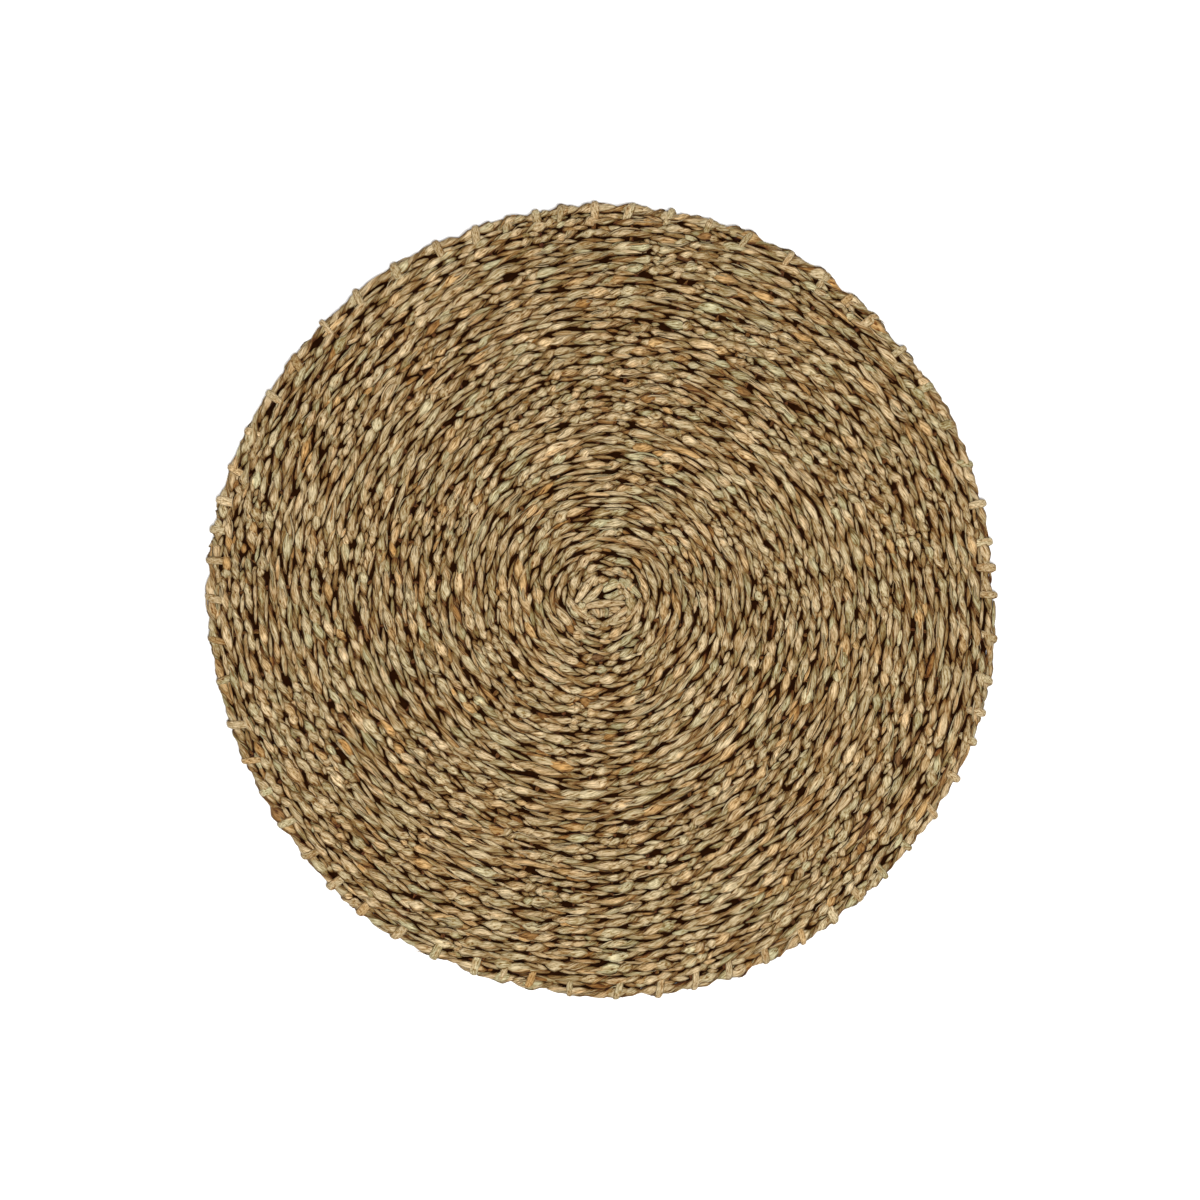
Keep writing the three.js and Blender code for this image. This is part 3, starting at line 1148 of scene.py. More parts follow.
@dataclass
class CentreStart:
    """The middle of the mat, where the ends of the first strands and spokes lie across one another.

    Attributes:
        plan: Where the weave's centre is.
        leaves: The leaves, from the lowest to the highest.
        sides: Points round a leaf.
        steps: Rings along a leaf.
        sunk: How much lower a leaf's ends lie than its middle.
        thickest: Most that half a leaf's thickness may be.
        floor_gap: How far a leaf's middle line stays over the table, in half thicknesses.
        crossing: Length that counts as a crossing on the strand map.
    """

    plan: WeavePlan
    leaves: tuple[StartLeaf, ...] = (
        # The lower leaves keep less light: painted shade under the higher ones.
        StartLeaf(((-8.5, 1.5), (-5.0, -1.4), (-1.0, -2.0)), 2.1 * MM, 4.9 * MM, 0.85),
        StartLeaf(((-7.5, -7.5), (-1.0, -6.8), (5.0, -8.2)), 2.5 * MM, 4.7 * MM, 0.85),
        StartLeaf(((0.8, -1.2), (5.0, -1.2), (10.0, 0.8)), 2.1 * MM, 4.9 * MM, 0.90),
        StartLeaf(((-5.0, 6.4), (-0.4, 7.2), (5.0, 8.4)), 2.3 * MM, 5.0 * MM, 0.85),
        StartLeaf(((2.6, -4.6), (5.0, -5.4), (8.6, -6.5)), 2.3 * MM, 5.0 * MM, 0.90),
        StartLeaf(((-5.6, -4.8), (-3.4, -6.6), (-2.4, -9.4)), 1.8 * MM, 5.3 * MM, 0.90),
        StartLeaf(((0.4, -5.0), (1.2, -6.8), (0.8, -9.4)), 1.3 * MM, 5.3 * MM, 0.95),
        StartLeaf(((7.7, 4.9), (10.8, 2.0), (12.4, -2.2)), 1.7 * MM, 5.7 * MM, 0.9),
        StartLeaf(((2.2, -12.2), (6.4, -11.4), (11.6, -8.9)), 1.7 * MM, 5.8 * MM, 1.0),
        StartLeaf(((3.8, -10.2), (8.2, -7.5), (12.2, -3.2)), 1.9 * MM, 6.0 * MM, 1.0),
        StartLeaf(((-16.0, -3.2), (-11.8, -6.4), (-6.0, -10.8)), 2.4 * MM, 6.0 * MM, 1.0),
        StartLeaf(((7.4, 8.9), (12.2, 5.4), (17.4, 0.3)), 2.2 * MM, 6.0 * MM, 1.0),
        StartLeaf(((0.0, 0.8), (5.0, 1.2), (9.3, 5.2)), 1.8 * MM, 5.5 * MM, 0.95),
        StartLeaf(((-0.2, 3.0), (3.4, 5.4), (8.2, 7.2)), 2.0 * MM, 6.1 * MM, 1.05),
        StartLeaf(((-10.2, -3.0), (-5.4, 1.4), (-0.8, 6.2)), 2.2 * MM, 6.4 * MM, 1.1),
        StartLeaf(((-13.6, -2.2), (-9.0, 4.0), (-4.2, 10.6)), 2.1 * MM, 6.7 * MM, 1.1),
        StartLeaf(((-9.6, -4.6), (-0.4, -2.9), (10.6, -2.6)), 2.1 * MM, 6.2 * MM, 1.0),
        # A thin strip with light 1.5: a painted highlight.
        StartLeaf(((-1.7, -5.2), (-1.3, -7.0), (-1.5, -9.4)), 0.5 * MM, 6.3 * MM, 1.5),
    )
    sides: int = 8
    steps: int = 14
    sunk: float = 1.1 * MM
    thickest: float = 0.95 * MM
    floor_gap: float = 1.15
    crossing: float = 18.4 * MM

    def leaf(self, number: int, under: bool) -> MeshData:
        """One leaf along a parabola through its three points, highest and widest in the middle.

        Its height and width fall to its ends with the 0.7 power of a sine, and its section is an ellipse that
        wanders by 5%.

        Args:
            number: Which leaf.
            under: Whether it is the one that lies on the underside in the same place.

        Returns:
            The closed leaf.
        """
        given = self.leaves[number]
        share = np.linspace(0.0, 1.0, self.steps)
        first, middle, last = (np.array([*point, 0.0]) * MM for point in given.points)
        path = ((1.0 - share) * (1.0 - 2.0 * share))[:, None] * first
        path = path + (4.0 * share * (1.0 - share))[:, None] * middle
        path = path + (share * (2.0 * share - 1.0))[:, None] * last
        path[:, :2] += self.plan.centre[:2]
        arch = np.sin(math.pi * share) ** 0.7
        path[:, 2] = given.height - self.sunk * (1.0 - arch)
        along = 600.0 + 7.3 * number + np.linalg.norm(last - first) / self.crossing * share
        wide = given.half_width * (0.42 + 0.58 * arch)
        high = min(0.5 * given.half_width, self.thickest) * (0.6 + 0.4 * arch)
        turned = 0.3 * wander(share, 0.8, 310 + number)
        up = np.tile([0.0, 0.0, 1.0], (self.steps, 1))
        if under:
            path[:, 2] = np.maximum(self.plan.thickness - path[:, 2], self.floor_gap * high)
            up = -up
        course = Course(path, up, wide, high, turned, along)
        ripple = np.stack([wander(along, 0.5, 300 + side) for side in range(self.sides)], 1)
        tone, light = LeafDye(3300 + number, patch=9.0, spread=0.08).leaves(along, self.sides, 1)
        return sweep(course, 1.0 + 0.05 * ripple, tone, given.light * light)

    def build(self) -> bpy.types.Object:
        """Makes the leaves of both faces as one piece.

        Returns:
            The piece.
        """
        places = [(number, under) for under in (False, True) for number in range(len(self.leaves))]
        start = MeshData.joined([self.leaf(number, under) for number, under in places])
        # Painted shade: darker deep in the weave and on upright skin.
        start.light = start.light * self.plan.depth_shade(start.points, start.facing, 0.4)
        return start.to_object("centre_start", self.sides)


@dataclass(frozen=True)
class LooseKind:
    """A kind of leaf that lies loose on the strands.

    Attributes:
        name: The piece's name.
        count: How many there are.
        seed: Picks their places.
        length: Shortest and longest, in crossings.
        half_width: Narrowest and widest half width.
        half_height: Half its thickness.
        lift: How far its free end stands off the skin, as a share of the strand's radius.
        light: Mean brightness.
    """

    name: str
    count: int
    seed: int
    length: tuple[float, float]
    half_width: tuple[float, float]
    half_height: float
    lift: float
    light: float


PEELS = LooseKind(
    name="leaf_peels",
    count=500,
    seed=61,
    length=(0.35, 0.95),
    half_width=(0.35 * MM, 0.75 * MM),
    half_height=0.22 * MM,
    lift=0.06,
    light=1.02,
)
# The frays' light of 1.28 paints them brighter than the strands: a painted highlight on their lifted ends.
FRAYS = LooseKind(
    name="frays",
    count=600,
    seed=62,
    length=(0.15, 0.45),
    half_width=(0.14 * MM, 0.34 * MM),
    half_height=0.12 * MM,
    lift=0.80,
    light=1.28,
)


@dataclass
class LooseLeaves:
    """Edges of leaves that peel off the strands, and frayed ends that stand up from them.

    Attributes:
        weft: The strands that they lie on.
        kind: Which of the two they are.
        sides: Points round one.
        steps: Rings along one.
    """

    weft: Weft
    kind: LooseKind
    sides: int = 4
    steps: int = 7

    def leaf(self, number: int) -> MeshData:
        """One loose leaf, on the upper side of a grain.

        It follows the strand's skin at an angle that drifts round the section. It lies at 0.74 of the
        strand's radius at its ends and rises by 0.22 between them, with the 0.6 power of a sine, and its last
        end is lifted by the square of the way along.

        Args:
            number: Picks its place and size.

        Returns:
            The closed leaf.
        """
        kind = self.kind
        chance = np.random.default_rng([kind.seed, number])
        last = len(self.weft.plan.crossings) - 1
        face = Face(int(chance.integers(0, 2)))
        grain = int(chance.integers(self.weft.first_crossing + 2, last - 1))
        grain += (grain + face.value) % 2
        length = between(kind.length, chance.random())
        start = grain - 0.5 * length + 0.35 * (chance.random() - 0.5)
        begin = min(max(start, 0.0), last - length)
        course = self.weft.course(face, begin, begin + length, (self.steps - 1) / length)
        share = np.linspace(0.0, 1.0, self.steps)
        if chance.random() < 0.5:
            share = share[::-1]
        side = math.pi * (0.18 + 0.64 * chance.random())
        angle = side + 0.9 * (chance.random() - 0.5) * (share - 0.5)
        lift = kind.lift * chance.random() ** 2
        path, away = course.beside(angle, 0.74 + 0.22 * np.sin(math.pi * share) ** 0.6 + lift * share**2)
        wide = between(kind.half_width, chance.random())
        taper = 0.25 + 0.75 * np.sin(math.pi * (0.12 + 0.80 * share)) ** 0.7
        ribbon = Course(
            path,
            away,
            wide * taper,
            np.full(self.steps, kind.half_height),
            np.zeros(self.steps),
            course.along + 40.0 * chance.random(),
        )
        profile = np.ones((self.steps, self.sides))
        tone = profile * Dye.pick_tones(chance, 1)[0]
        light = profile * kind.light * (1.0 + 0.16 * chance.standard_normal())
        return sweep(ribbon, profile, tone, light)

    def build(self) -> bpy.types.Object:
        """Makes all of them as one piece.

        Returns:
            The piece.
        """
        leaves = MeshData.joined([self.leaf(number) for number in range(self.kind.count)])
        # Painted shade: darker deep in the weave and on upright skin.
        leaves.light = leaves.light * self.weft.plan.depth_shade(leaves.points, leaves.facing, 0.32, 0.8)
        return leaves.to_object(self.kind.name, self.sides)


@dataclass
class GrooveLeaves:
    """Outer leaves of the strands that spread into the groove between two rows.

    Attributes:
        plan: Where the rows run.
        name: The piece's name.
        under: Whether they lie in the underside's grooves.
        seed: Picks their places.
        density: Leaves for each crossing.
        sides: Points round one.
        steps: Rings along one.
        length: Shortest and longest, in crossings.
        half_width: Narrowest and widest half width.
        half_height: Half the thickness of one.
        height: Lowest and highest middle line.
        spread: How far one lies off the groove's middle.
        slant: How far one end lies off the other, across the groove.
        droop: How much lower its ends are than its middle.
        gather: How far it is drawn towards the gap between two spokes, in crossings.
        light: Brightness of these leaves, painted lower as shade down in the groove.
        first_crossing: Where the first of them lies.
    """

    plan: WeavePlan
    name: str = "groove_leaves"
    under: bool = False
    seed: int = 83
    density: float = 2.3
    sides: int = 6
    steps: int = 6
    length: tuple[float, float] = (0.34, 0.66)
    half_width: tuple[float, float] = (0.9 * MM, 1.80 * MM)
    half_height: float = 0.60 * MM
    height: tuple[float, float] = (4.4 * MM, 5.6 * MM)
    spread: float = 0.55 * MM
    slant: float = 1.0 * MM
    droop: float = 0.9 * MM
    gather: float = 0.11
    light: float = 0.88
    first_crossing: int = 8

    def leaf(self, number: int) -> MeshData:
        """One leaf, along the row's outer side, with its ends tucked down.

        Its distance from the weave's centre is the row's, half a pitch, its own shift and a slant that is
        linear along it. Its height falls by the square of the distance from its middle, and its width with
        the 0.7 power of a cosine. A sine of its place draws it towards the gap between two spokes.

        Args:
            number: Picks its place and size.

        Returns:
            The closed leaf.
        """
        plan = self.plan
        chance = np.random.default_rng([self.seed, number])
        draw = chance.random(8)
        middle = self.first_crossing + (number + 0.7 * (draw[1] - 0.5)) / self.density
        middle = middle + self.gather * math.sin(TURN * middle)
        share = np.linspace(-0.5, 0.5, self.steps)
        along = middle + between(self.length, draw[0]) * share
        turns = np.interp(along, np.arange(len(plan.crossings)), plan.crossings)
        shift = self.spread * (2.0 * draw[2] - 1.0) + self.slant * (draw[3] - 0.35) * 2.0 * share
        radius = plan.row_radius(turns) + 0.5 * plan.row_pitch + shift + plan.drift(turns)
        height = between(self.height, draw[4]) - self.droop * (2.0 * share) ** 2
        path = plan.place(radius, turns, height)
        away, _ = plan.directions(turns)
        lean = 0.7 * (draw[5] - 0.5)
        outward = math.sin(lean) * away
        outward[:, 2] = math.cos(lean)
        if self.under:
            path[:, 2] = plan.thickness - path[:, 2]
            outward[:, 2] = -outward[:, 2]
        taper = np.cos(math.pi * 0.86 * share) ** 0.7
        wide = between(self.half_width, draw[6]) * taper
        high = self.half_height * taper**0.5
        turned = np.full(self.steps, 0.5 * (draw[7] - 0.5))
        course = Course(path, outward, wide, high, turned, along + 3.1 * number)
        profile = 1.0 + 0.08 * chance.standard_normal((self.steps, self.sides))
        tone, light = LeafDye(9000 + number, patch=3.0).leaves(along, self.sides, 2)
        # self.light paints these leaves darker as shade in the groove.
        return sweep(course, profile, tone, self.light * light)

    def build(self) -> bpy.types.Object:
        """Makes all of them as one piece, up to the last groove.

        Returns:
            The piece.
        """
        inside = int(np.searchsorted(self.plan.crossings, self.plan.turns - 1.05)) - self.first_crossing - 1
        leaves = MeshData.joined([self.leaf(number) for number in range(int(self.density * inside))])
        # Painted shade: darker deep in the weave and on upright skin.
        leaves.light = leaves.light * self.plan.depth_shade(leaves.points, leaves.facing)
        return leaves.to_object(self.name, self.sides)


@dataclass
class InnerLeaves:
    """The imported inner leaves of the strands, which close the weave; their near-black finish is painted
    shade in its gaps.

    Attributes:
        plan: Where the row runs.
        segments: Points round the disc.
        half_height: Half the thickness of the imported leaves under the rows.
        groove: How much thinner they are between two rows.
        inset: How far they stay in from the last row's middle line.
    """

    plan: WeavePlan
    segments: int = 96
    half_height: float = 0.95 * MM
    groove: float = 0.35 * MM
    inset: float = 0.6 * MM

    def reach(self, share: np.ndarray) -> np.ndarray:
        """Radius of the disc: the last turn's, less the inset, eased in by half a pitch where the row ends.

        Args:
            share: Places along the last turn, from 0 to 1.

        Returns:
            The radius at each place.
        """
        plan = self.plan
        row = plan.row_radius(plan.turns - 1 + share) - self.inset
        return row - 0.5 * plan.row_pitch * smoothstep(share, 0.9, 1.0)

    def build(self) -> bpy.types.Object:
        """Makes the disc: a closed skin with a wave of one row's pitch in its upper and its lower face.

        Its height over the middle plane is half the thickness, less half the groove times one minus the
        cosine of the distance from the row's middle line over the pitch. Near its edge that is times the
        root of one less 0.7 times the 24th power of the share of the radius.

        Returns:
            The disc.
        """
        plan = self.plan
        share = np.linspace(0.0, 1.0, self.segments, endpoint=False)
        count = 2 * plan.turns
        steps = np.arange(1, count + 1) / count
        radius = self.reach(share)[None, :] * steps[:, None]
        turns = np.broadcast_to(share[None, :], radius.shape)
        rows = (radius - plan.first_radius) / plan.row_pitch - share[None, :]
        wave = self.groove * (1.0 - np.cos(TURN * rows)) / 2.0
        high = (self.half_height - wave) * np.sqrt(1.0 - 0.7 * steps[:, None] ** 24)
        middle = plan.thickness / 2.0
        upper = plan.place(radius, turns, middle + high).reshape(-1, 3)
        lower = plan.place(radius, turns, middle - high).reshape(-1, 3)
        ends = plan.place(np.zeros(2), np.zeros(2), np.array([middle + high[0, 0], middle - high[0, 0]]))
        points = np.concatenate([upper, lower, ends])

        ring, at = np.meshgrid(np.arange(count - 1), np.arange(self.segments), indexing="ij")
        after = (at + 1) % self.segments
        size = self.segments
        skin = np.stack(
            [ring * size + at, (ring + 1) * size + at, (ring + 1) * size + after, ring * size + after], -1
        ).reshape(-1, 4)
        this = np.arange(size)
        following = (this + 1) % size
        rim = (count - 1) * size
        side = count * size
        wall = np.stack([rim + this, side + rim + this, side + rim + following, rim + following], 1)
        cap = np.full(size, len(points) - 2)
        quads = np.concatenate([skin, skin[:, ::-1] + side, wall])
        triangles = np.concatenate(
            [
                np.stack([cap, this, following], 1),
                np.stack([cap + 1, side + following, side + this], 1),
            ]
        )
        mesh = bpy.data.meshes.new("inner_leaves")
        mesh.from_pydata(points.tolist(), [], quads.tolist() + triangles.tolist())
        mesh.polygons.foreach_set("use_smooth", np.ones(len(mesh.polygons), bool))
        mesh.update()
        disc = bpy.data.objects.new("inner_leaves", mesh)
        bpy.context.scene.collection.objects.link(disc)
        return disc

    def flat_area(self) -> float:
        """Area of the disc: pi times the mean of its radius squared, all the way round."""
        share = np.linspace(0.0, 1.0, self.segments, endpoint=False)
        return float(math.pi * np.mean(self.reach(share) ** 2))


Feed = bpy.types.NodeSocket | float | tuple[float, ...]
Feeds = dict[int | str, Feed]


@dataclass(frozen=True)
class NodeBench:
    """Adds nodes to a node tree and wires them as it goes.

    Attributes:
        tree: The node tree.
    """

    tree: bpy.types.NodeTree

    def fill(self, node: bpy.types.Node, inputs: Feeds) -> None:
        """Sets each input that is given a value, and links each one that is given a socket.

        Args:
            node: The node.
            inputs: For the place or name of each input, its value or the socket that feeds it.
        """
        for place, feed in inputs.items():
            if isinstance(feed, bpy.types.NodeSocket):
                self.tree.links.new(feed, node.inputs[place])
            else:
                node.inputs[place].default_value = feed

    def add(self, kind: str, inputs: Feeds | None = None, **options: object) -> bpy.types.Node:
        """Adds a node, sets its options and fills its inputs.

        Args:
            kind: The node's type name.
            inputs: What its inputs get, by place or name.
            **options: The node's own settings.

        Returns:
            The node.
        """
        node = self.tree.nodes.new(kind)
        for key, value in options.items():
            setattr(node, key, value)
        self.fill(node, inputs or {})
        return node

    def math(self, operation: str, *feeds: Feed, clamped: bool = False) -> bpy.types.NodeSocket:
        """A Math node's result for the feeds, in the order of its inputs."""
        inputs = dict(enumerate(feeds))
        return self.add("ShaderNodeMath", inputs, operation=operation, use_clamp=clamped).outputs[0]

    def ranged(self, feed: Feed, start: float, end: float, low: float, high: float) -> bpy.types.NodeSocket:
        """The feed's place between start and end, carried over to low and high and held there."""
        return self.add("ShaderNodeMapRange", dict(enumerate((feed, start, end, low, high)))).outputs[0]

    def scaled(self, feed: Feed, factor: Feed) -> bpy.types.NodeSocket:
        """A vector times another, axis by axis."""
        return self.add("ShaderNodeVectorMath", {0: feed, 1: factor}, operation="MULTIPLY").outputs[0]


def from_srgb(red: int, green: int, blue: int) -> tuple[float, float, float, float]:
    """Linear colour of an ordinary 0 to 255 colour, by the usual power of 2.4 with its straight foot.

    Args:
        red: Red, 0 to 255.
        green: Green.
        blue: Blue.

    Returns:
        The linear red, green and blue, and 1.
    """
    parts = [value / 255.0 for value in (red, green, blue)]
    linear = [part / 12.92 if part <= 0.04045 else ((part + 0.055) / 1.055) ** 2.4 for part in parts]
    return (linear[0], linear[1], linear[2], 1.0)


@dataclass(frozen=True)
class FibreLayer:
    """A noise that is stretched along the strand, as the leaf's fibres are.

    Attributes:
        spread: Its fineness along a crossing, round the strand and across.
        detail: How many finer layers it has.
        edge: How far from its mean it is full light or full dark.
        roughness: How strong the finer layers are.
    """

    spread: tuple[float, float, float]
    detail: float
    edge: float
    roughness: float = 0.65


@dataclass(frozen=True)
class LeafPattern:
    """The dry leaf's look, kept in one node group: its tones, fibres, painted crease shade and rust spots.

    Attributes:
        name: The group's name.
        tones: Place in the range of tones and colour, from green to dark brown.
        fine: The leaf's fibres.
        broad: The broader streaks.
        broad_share: Strength of the streaks beside the fibres.
        crease_width: How far from a leaf's edge the painted crease shade reaches, in leaves.
        crease_breaks: Streaks' dark and light ends, between which a painted edge line fades in.
        slits: Streaks' dark and light ends, between which the painted shade of a slit in the leaf fades out.
        slit_depth: How dark a slit's painted shade is beside an edge line.
        rust: Colour of the rust spots.
        rust_spread: Their fineness along a crossing, round the strand and across.
        rust_from: Noise at which a spot starts and at which it is full.
        depth_powers: Power of the leaf's light in red, green and blue: painted shade and darker leaves are
            browner.
        deep_from: Light below which the painted shade and the darkest leaves are browner still.
        deep_powers: Power of its share of that light in red, green and blue.
        darkest: Least light that a place keeps.
        roughness: Roughness of the darkest and of the lightest fibres.
        crease_depth: How deep an edge line is beside the fibres.
    """

    name: str = "dry_leaf"
    tones: tuple[tuple[float, tuple[int, int, int]], ...] = (
        (0.00, (161, 155, 119)),
        (0.20, (171, 157, 122)),
        (0.38, (177, 157, 122)),
        (0.55, (181, 157, 120)),
        (0.72, (184, 150, 101)),
        (0.86, (160, 118, 62)),
        (1.00, (114, 82, 48)),
    )
    fine: FibreLayer = FibreLayer((5.0, 24.0, 1.0), 3.0, 0.16)
    broad: FibreLayer = FibreLayer((6.0, 9.0, 1.0), 2.0, 0.20)
    broad_share: float = 0.38
    crease_width: float = 0.22
    crease_breaks: tuple[float, float] = (-0.9, 0.3)
    slits: tuple[float, float] = (-0.95, -0.45)
    slit_depth: float = 0.32
    rust: tuple[int, int, int] = (160, 113, 52)
    rust_spread: tuple[float, float, float] = (0.9, 2.5, 1.0)
    rust_from: tuple[float, float] = (0.53, 0.70)
    depth_powers: tuple[float, float, float] = (1.0, 1.34, 2.35)
    deep_from: float = 0.60
    deep_powers: tuple[float, float, float] = (0.0, 0.45, 1.10)
    darkest: float = 0.02
    roughness: tuple[float, float] = (0.82, 0.62)
    crease_depth: float = 2.5

    def build(self) -> bpy.types.NodeTree:
        """Makes the group: tone, light and strand place in, colour, roughness and height out.

        The leaf's light, which carries the painted shade, is times one and its fibres, less its
        painted crease shade. The colour is the tone's, mixed with rust in spots, times powers of that
        light, which turn painted shade browner. The height is the fibres less the edge lines.

        Returns:
            The node group.
        """
        tree = bpy.data.node_groups.new(self.name, "ShaderNodeTree")
        for side, kind, names in (
            ("INPUT", "NodeSocketFloat", ("Tone", "Light")),
            ("INPUT", "NodeSocketVector", ("Strand",)),
            ("INPUT", "NodeSocketFloat", ("Fibre", "Crease Shade", "Leaves", "Rust")),
            ("OUTPUT", "NodeSocketColor", ("Color",)),
            ("OUTPUT", "NodeSocketFloat", ("Roughness", "Height")),
        ):
            for name in names:
                tree.interface.new_socket(name, in_out=side, socket_type=kind)
        nodes = NodeBench(tree)
        given = nodes.add("NodeGroupInput").outputs
        streaks = self.layer(nodes, given["Strand"], self.broad)
        fibres = self.layer(nodes, given["Strand"], self.fine)
        fibres = nodes.math("MULTIPLY_ADD", streaks, self.broad_share, fibres)
        edges = self.edges(nodes, given)
        crease_shade = nodes.math("MULTIPLY", self.crease_shade(nodes, edges, streaks), given["Crease Shade"])
        bright = nodes.math("ADD", nodes.math("MULTIPLY", fibres, given["Fibre"]), 1.0)
        light = nodes.math("MULTIPLY", nodes.math("SUBTRACT", bright, crease_shade), given["Light"])
        colour = nodes.scaled(self.spotted(nodes, given), self.depth_factors(nodes, light))
        depth = nodes.math("MULTIPLY", edges, self.crease_depth)
        nodes.add(
            "NodeGroupOutput",
            {
                "Color": colour,
                "Roughness": nodes.ranged(fibres, -1.0, 1.0, *self.roughness),
                "Height": nodes.math("SUBTRACT", fibres, depth),
            },
        )
        return tree

    @staticmethod
    def layer(nodes: NodeBench, strand: bpy.types.NodeSocket, kind: FibreLayer) -> bpy.types.NodeSocket:
        """One layer of fibres: a noise on the stretched strand map, carried over to -1 to 1.

        Args:
            nodes: The bench.
            strand: The place on the strand map.
            kind: Which layer.

        Returns:
            The layer's value.
        """
        noise = nodes.add(
            "ShaderNodeTexNoise",
            {
                "Vector": nodes.scaled(strand, kind.spread),
                "Scale": 1.0,
                "Detail": kind.detail,
                "Roughness": kind.roughness,
            },
            noise_dimensions="2D",
        )
        return nodes.ranged(noise.outputs[0], 0.5 - kind.edge, 0.5 + kind.edge, -1.0, 1.0)

    def edges(self, nodes: NodeBench, given: bpy.types.NodeOutputs) -> bpy.types.NodeSocket:
        """Lines along the leaves' edges, for the painted crease shade and the bump: 1 where two leaves of a
        strand meet, and 0 inside them.

        The place round the strand, times the number of leaves, is folded to the distance from an edge.

        Args:
            nodes: The bench.
            given: The group's inputs.

        Returns:
            The lines' value.
        """
        round_it = nodes.add("ShaderNodeSeparateXYZ", {0: given["Strand"]}).outputs["Y"]
        leaves = nodes.math("MULTIPLY", round_it, given["Leaves"])
        return nodes.ranged(nodes.math("PINGPONG", leaves, 0.5), 0.0, self.crease_width, 1.0, 0.0)

    def crease_shade(
        self,
        nodes: NodeBench,
        edges: bpy.types.NodeSocket,
        streaks: bpy.types.NodeSocket,
    ) -> bpy.types.NodeSocket:
        """The painted crease shade: the leaf's edge lines where no dark streak breaks them, or its slits.

        Args:
            nodes: The bench.
            edges: The edge lines.
            streaks: The broader streaks.

        Returns:
            The larger of the two.
        """
        broken = nodes.ranged(streaks, *self.crease_breaks, 0.0, 1.0)
        slits = nodes.ranged(streaks, *self.slits, self.slit_depth, 0.0)
        return nodes.math("MAXIMUM", nodes.math("MULTIPLY", edges, broken), slits)

    def spotted(self, nodes: NodeBench, given: bpy.types.NodeOutputs) -> bpy.types.NodeSocket:
        """The tone's colour, mixed with rust where a slow noise on the strand map is high.

        Args:
            nodes: The bench.
            given: The group's inputs.

        Returns:
            The colour.
        """
        ramp = nodes.add("ShaderNodeValToRGB", {0: given["Tone"]})
        elements = ramp.color_ramp.elements
        elements[0].position, elements[0].color = self.tones[0][0], from_srgb(*self.tones[0][1])
        elements[1].position, elements[1].color = self.tones[-1][0], from_srgb(*self.tones[-1][1])
        for place, colour in self.tones[1:-1]:
            elements.new(place).color = from_srgb(*colour)
        noise = nodes.add(
            "ShaderNodeTexNoise",
            {"Vector": nodes.scaled(given["Strand"], self.rust_spread), "Scale": 1.3, "Detail": 4.0},
            noise_dimensions="2D",
        )
        spots = nodes.ranged(noise.outputs[0], *self.rust_from, 0.0, 1.0)
        mix = nodes.add("ShaderNodeMix", data_type="RGBA")
        nodes.fill(
            mix,
            {
                "Factor": nodes.math("MULTIPLY", spots, given["Rust"]),
                "A": ramp.outputs["Color"],
                "B": from_srgb(*self.rust),
            },
        )
        return mix.outputs["Result"]

    def depth_factors(self, nodes: NodeBench, light: bpy.types.NodeSocket) -> bpy.types.NodeSocket:
        """The leaf's light in red, green and blue, which turns painted shade browner.

        Each is a power of the light up to 1, times a power of its share of the light where deep places
        start, times the light where that is over 1.

        Args:
            nodes: The bench.
            light: The leaf's light.

        Returns:
            The three factors as a vector.
        """
        dim = nodes.add("ShaderNodeClamp", {0: light, 1: self.darkest, 2: 1.0}).outputs[0]
        extra = nodes.math("MAXIMUM", light, 1.0)
        deep = nodes.math("DIVIDE", dim, self.deep_from, clamped=True)
        factors = {}
        for place, (power, deep_power) in enumerate(zip(self.depth_powers, self.deep_powers)):
            shade = nodes.math("POWER", dim, power)
            browner = nodes.math("POWER", deep, deep_power)
            factors[place] = nodes.math("MULTIPLY", nodes.math("MULTIPLY", shade, browner), extra)
        return nodes.add("ShaderNodeCombineXYZ", factors).outputs[0]


@dataclass(frozen=True)
class SeagrassFinish:
    """Dry matte seagrass.

    Attributes:
        name: The material's name.
        leaves: How many leaves share a strand's section.
        fibre: How strongly the fibres lighten and darken the leaf.
        crease: How dark the painted shade of the lines between leaves is.
        rust: How strong the rust spots are.
        relief: Depth of the fibres, in metres.
        bump: Strength of that depth.
        specular: Strength of the shine.
    """

    name: str
    leaves: float
    fibre: float = 0.48
    crease: float = 0.62
    rust: float = 0.45
    relief: float = 0.12 * MM
    bump: float = 0.8
    specular: float = 0.30

    def build(self, pattern: bpy.types.NodeTree) -> bpy.types.Material:
        """Makes the material round the shared leaf pattern.

        Args:
            pattern: The node group of the leaf's look.

        Returns:
            The material.
        """
        material = bpy.data.materials.new(self.name)
        material.use_nodes = True
        nodes = NodeBench(material.node_tree)
        leaf = nodes.add("ShaderNodeGroup", node_tree=pattern)
        nodes.fill(
            leaf,
            {
                "Tone": nodes.add("ShaderNodeAttribute", attribute_name="leaf_tone").outputs["Fac"],
                "Light": nodes.add("ShaderNodeAttribute", attribute_name="leaf_light").outputs["Fac"],
                "Strand": nodes.add("ShaderNodeUVMap", uv_map=STRAND_MAP).outputs["UV"],
                "Fibre": self.fibre,
                "Crease Shade": self.crease,
                "Leaves": self.leaves,
                "Rust": self.rust,
            },
        )
        height = {"Strength": self.bump, "Distance": self.relief, "Height": leaf.outputs["Height"]}
        shader = material.node_tree.nodes["Principled BSDF"]
        shader.inputs["Specular IOR Level"].default_value = self.specular
        nodes.fill(
            shader,
            {
                "Base Color": leaf.outputs["Color"],
                "Roughness": leaf.outputs["Roughness"],
                "Normal": nodes.add("ShaderNodeBump", height).outputs["Normal"],
            },
        )
        return material


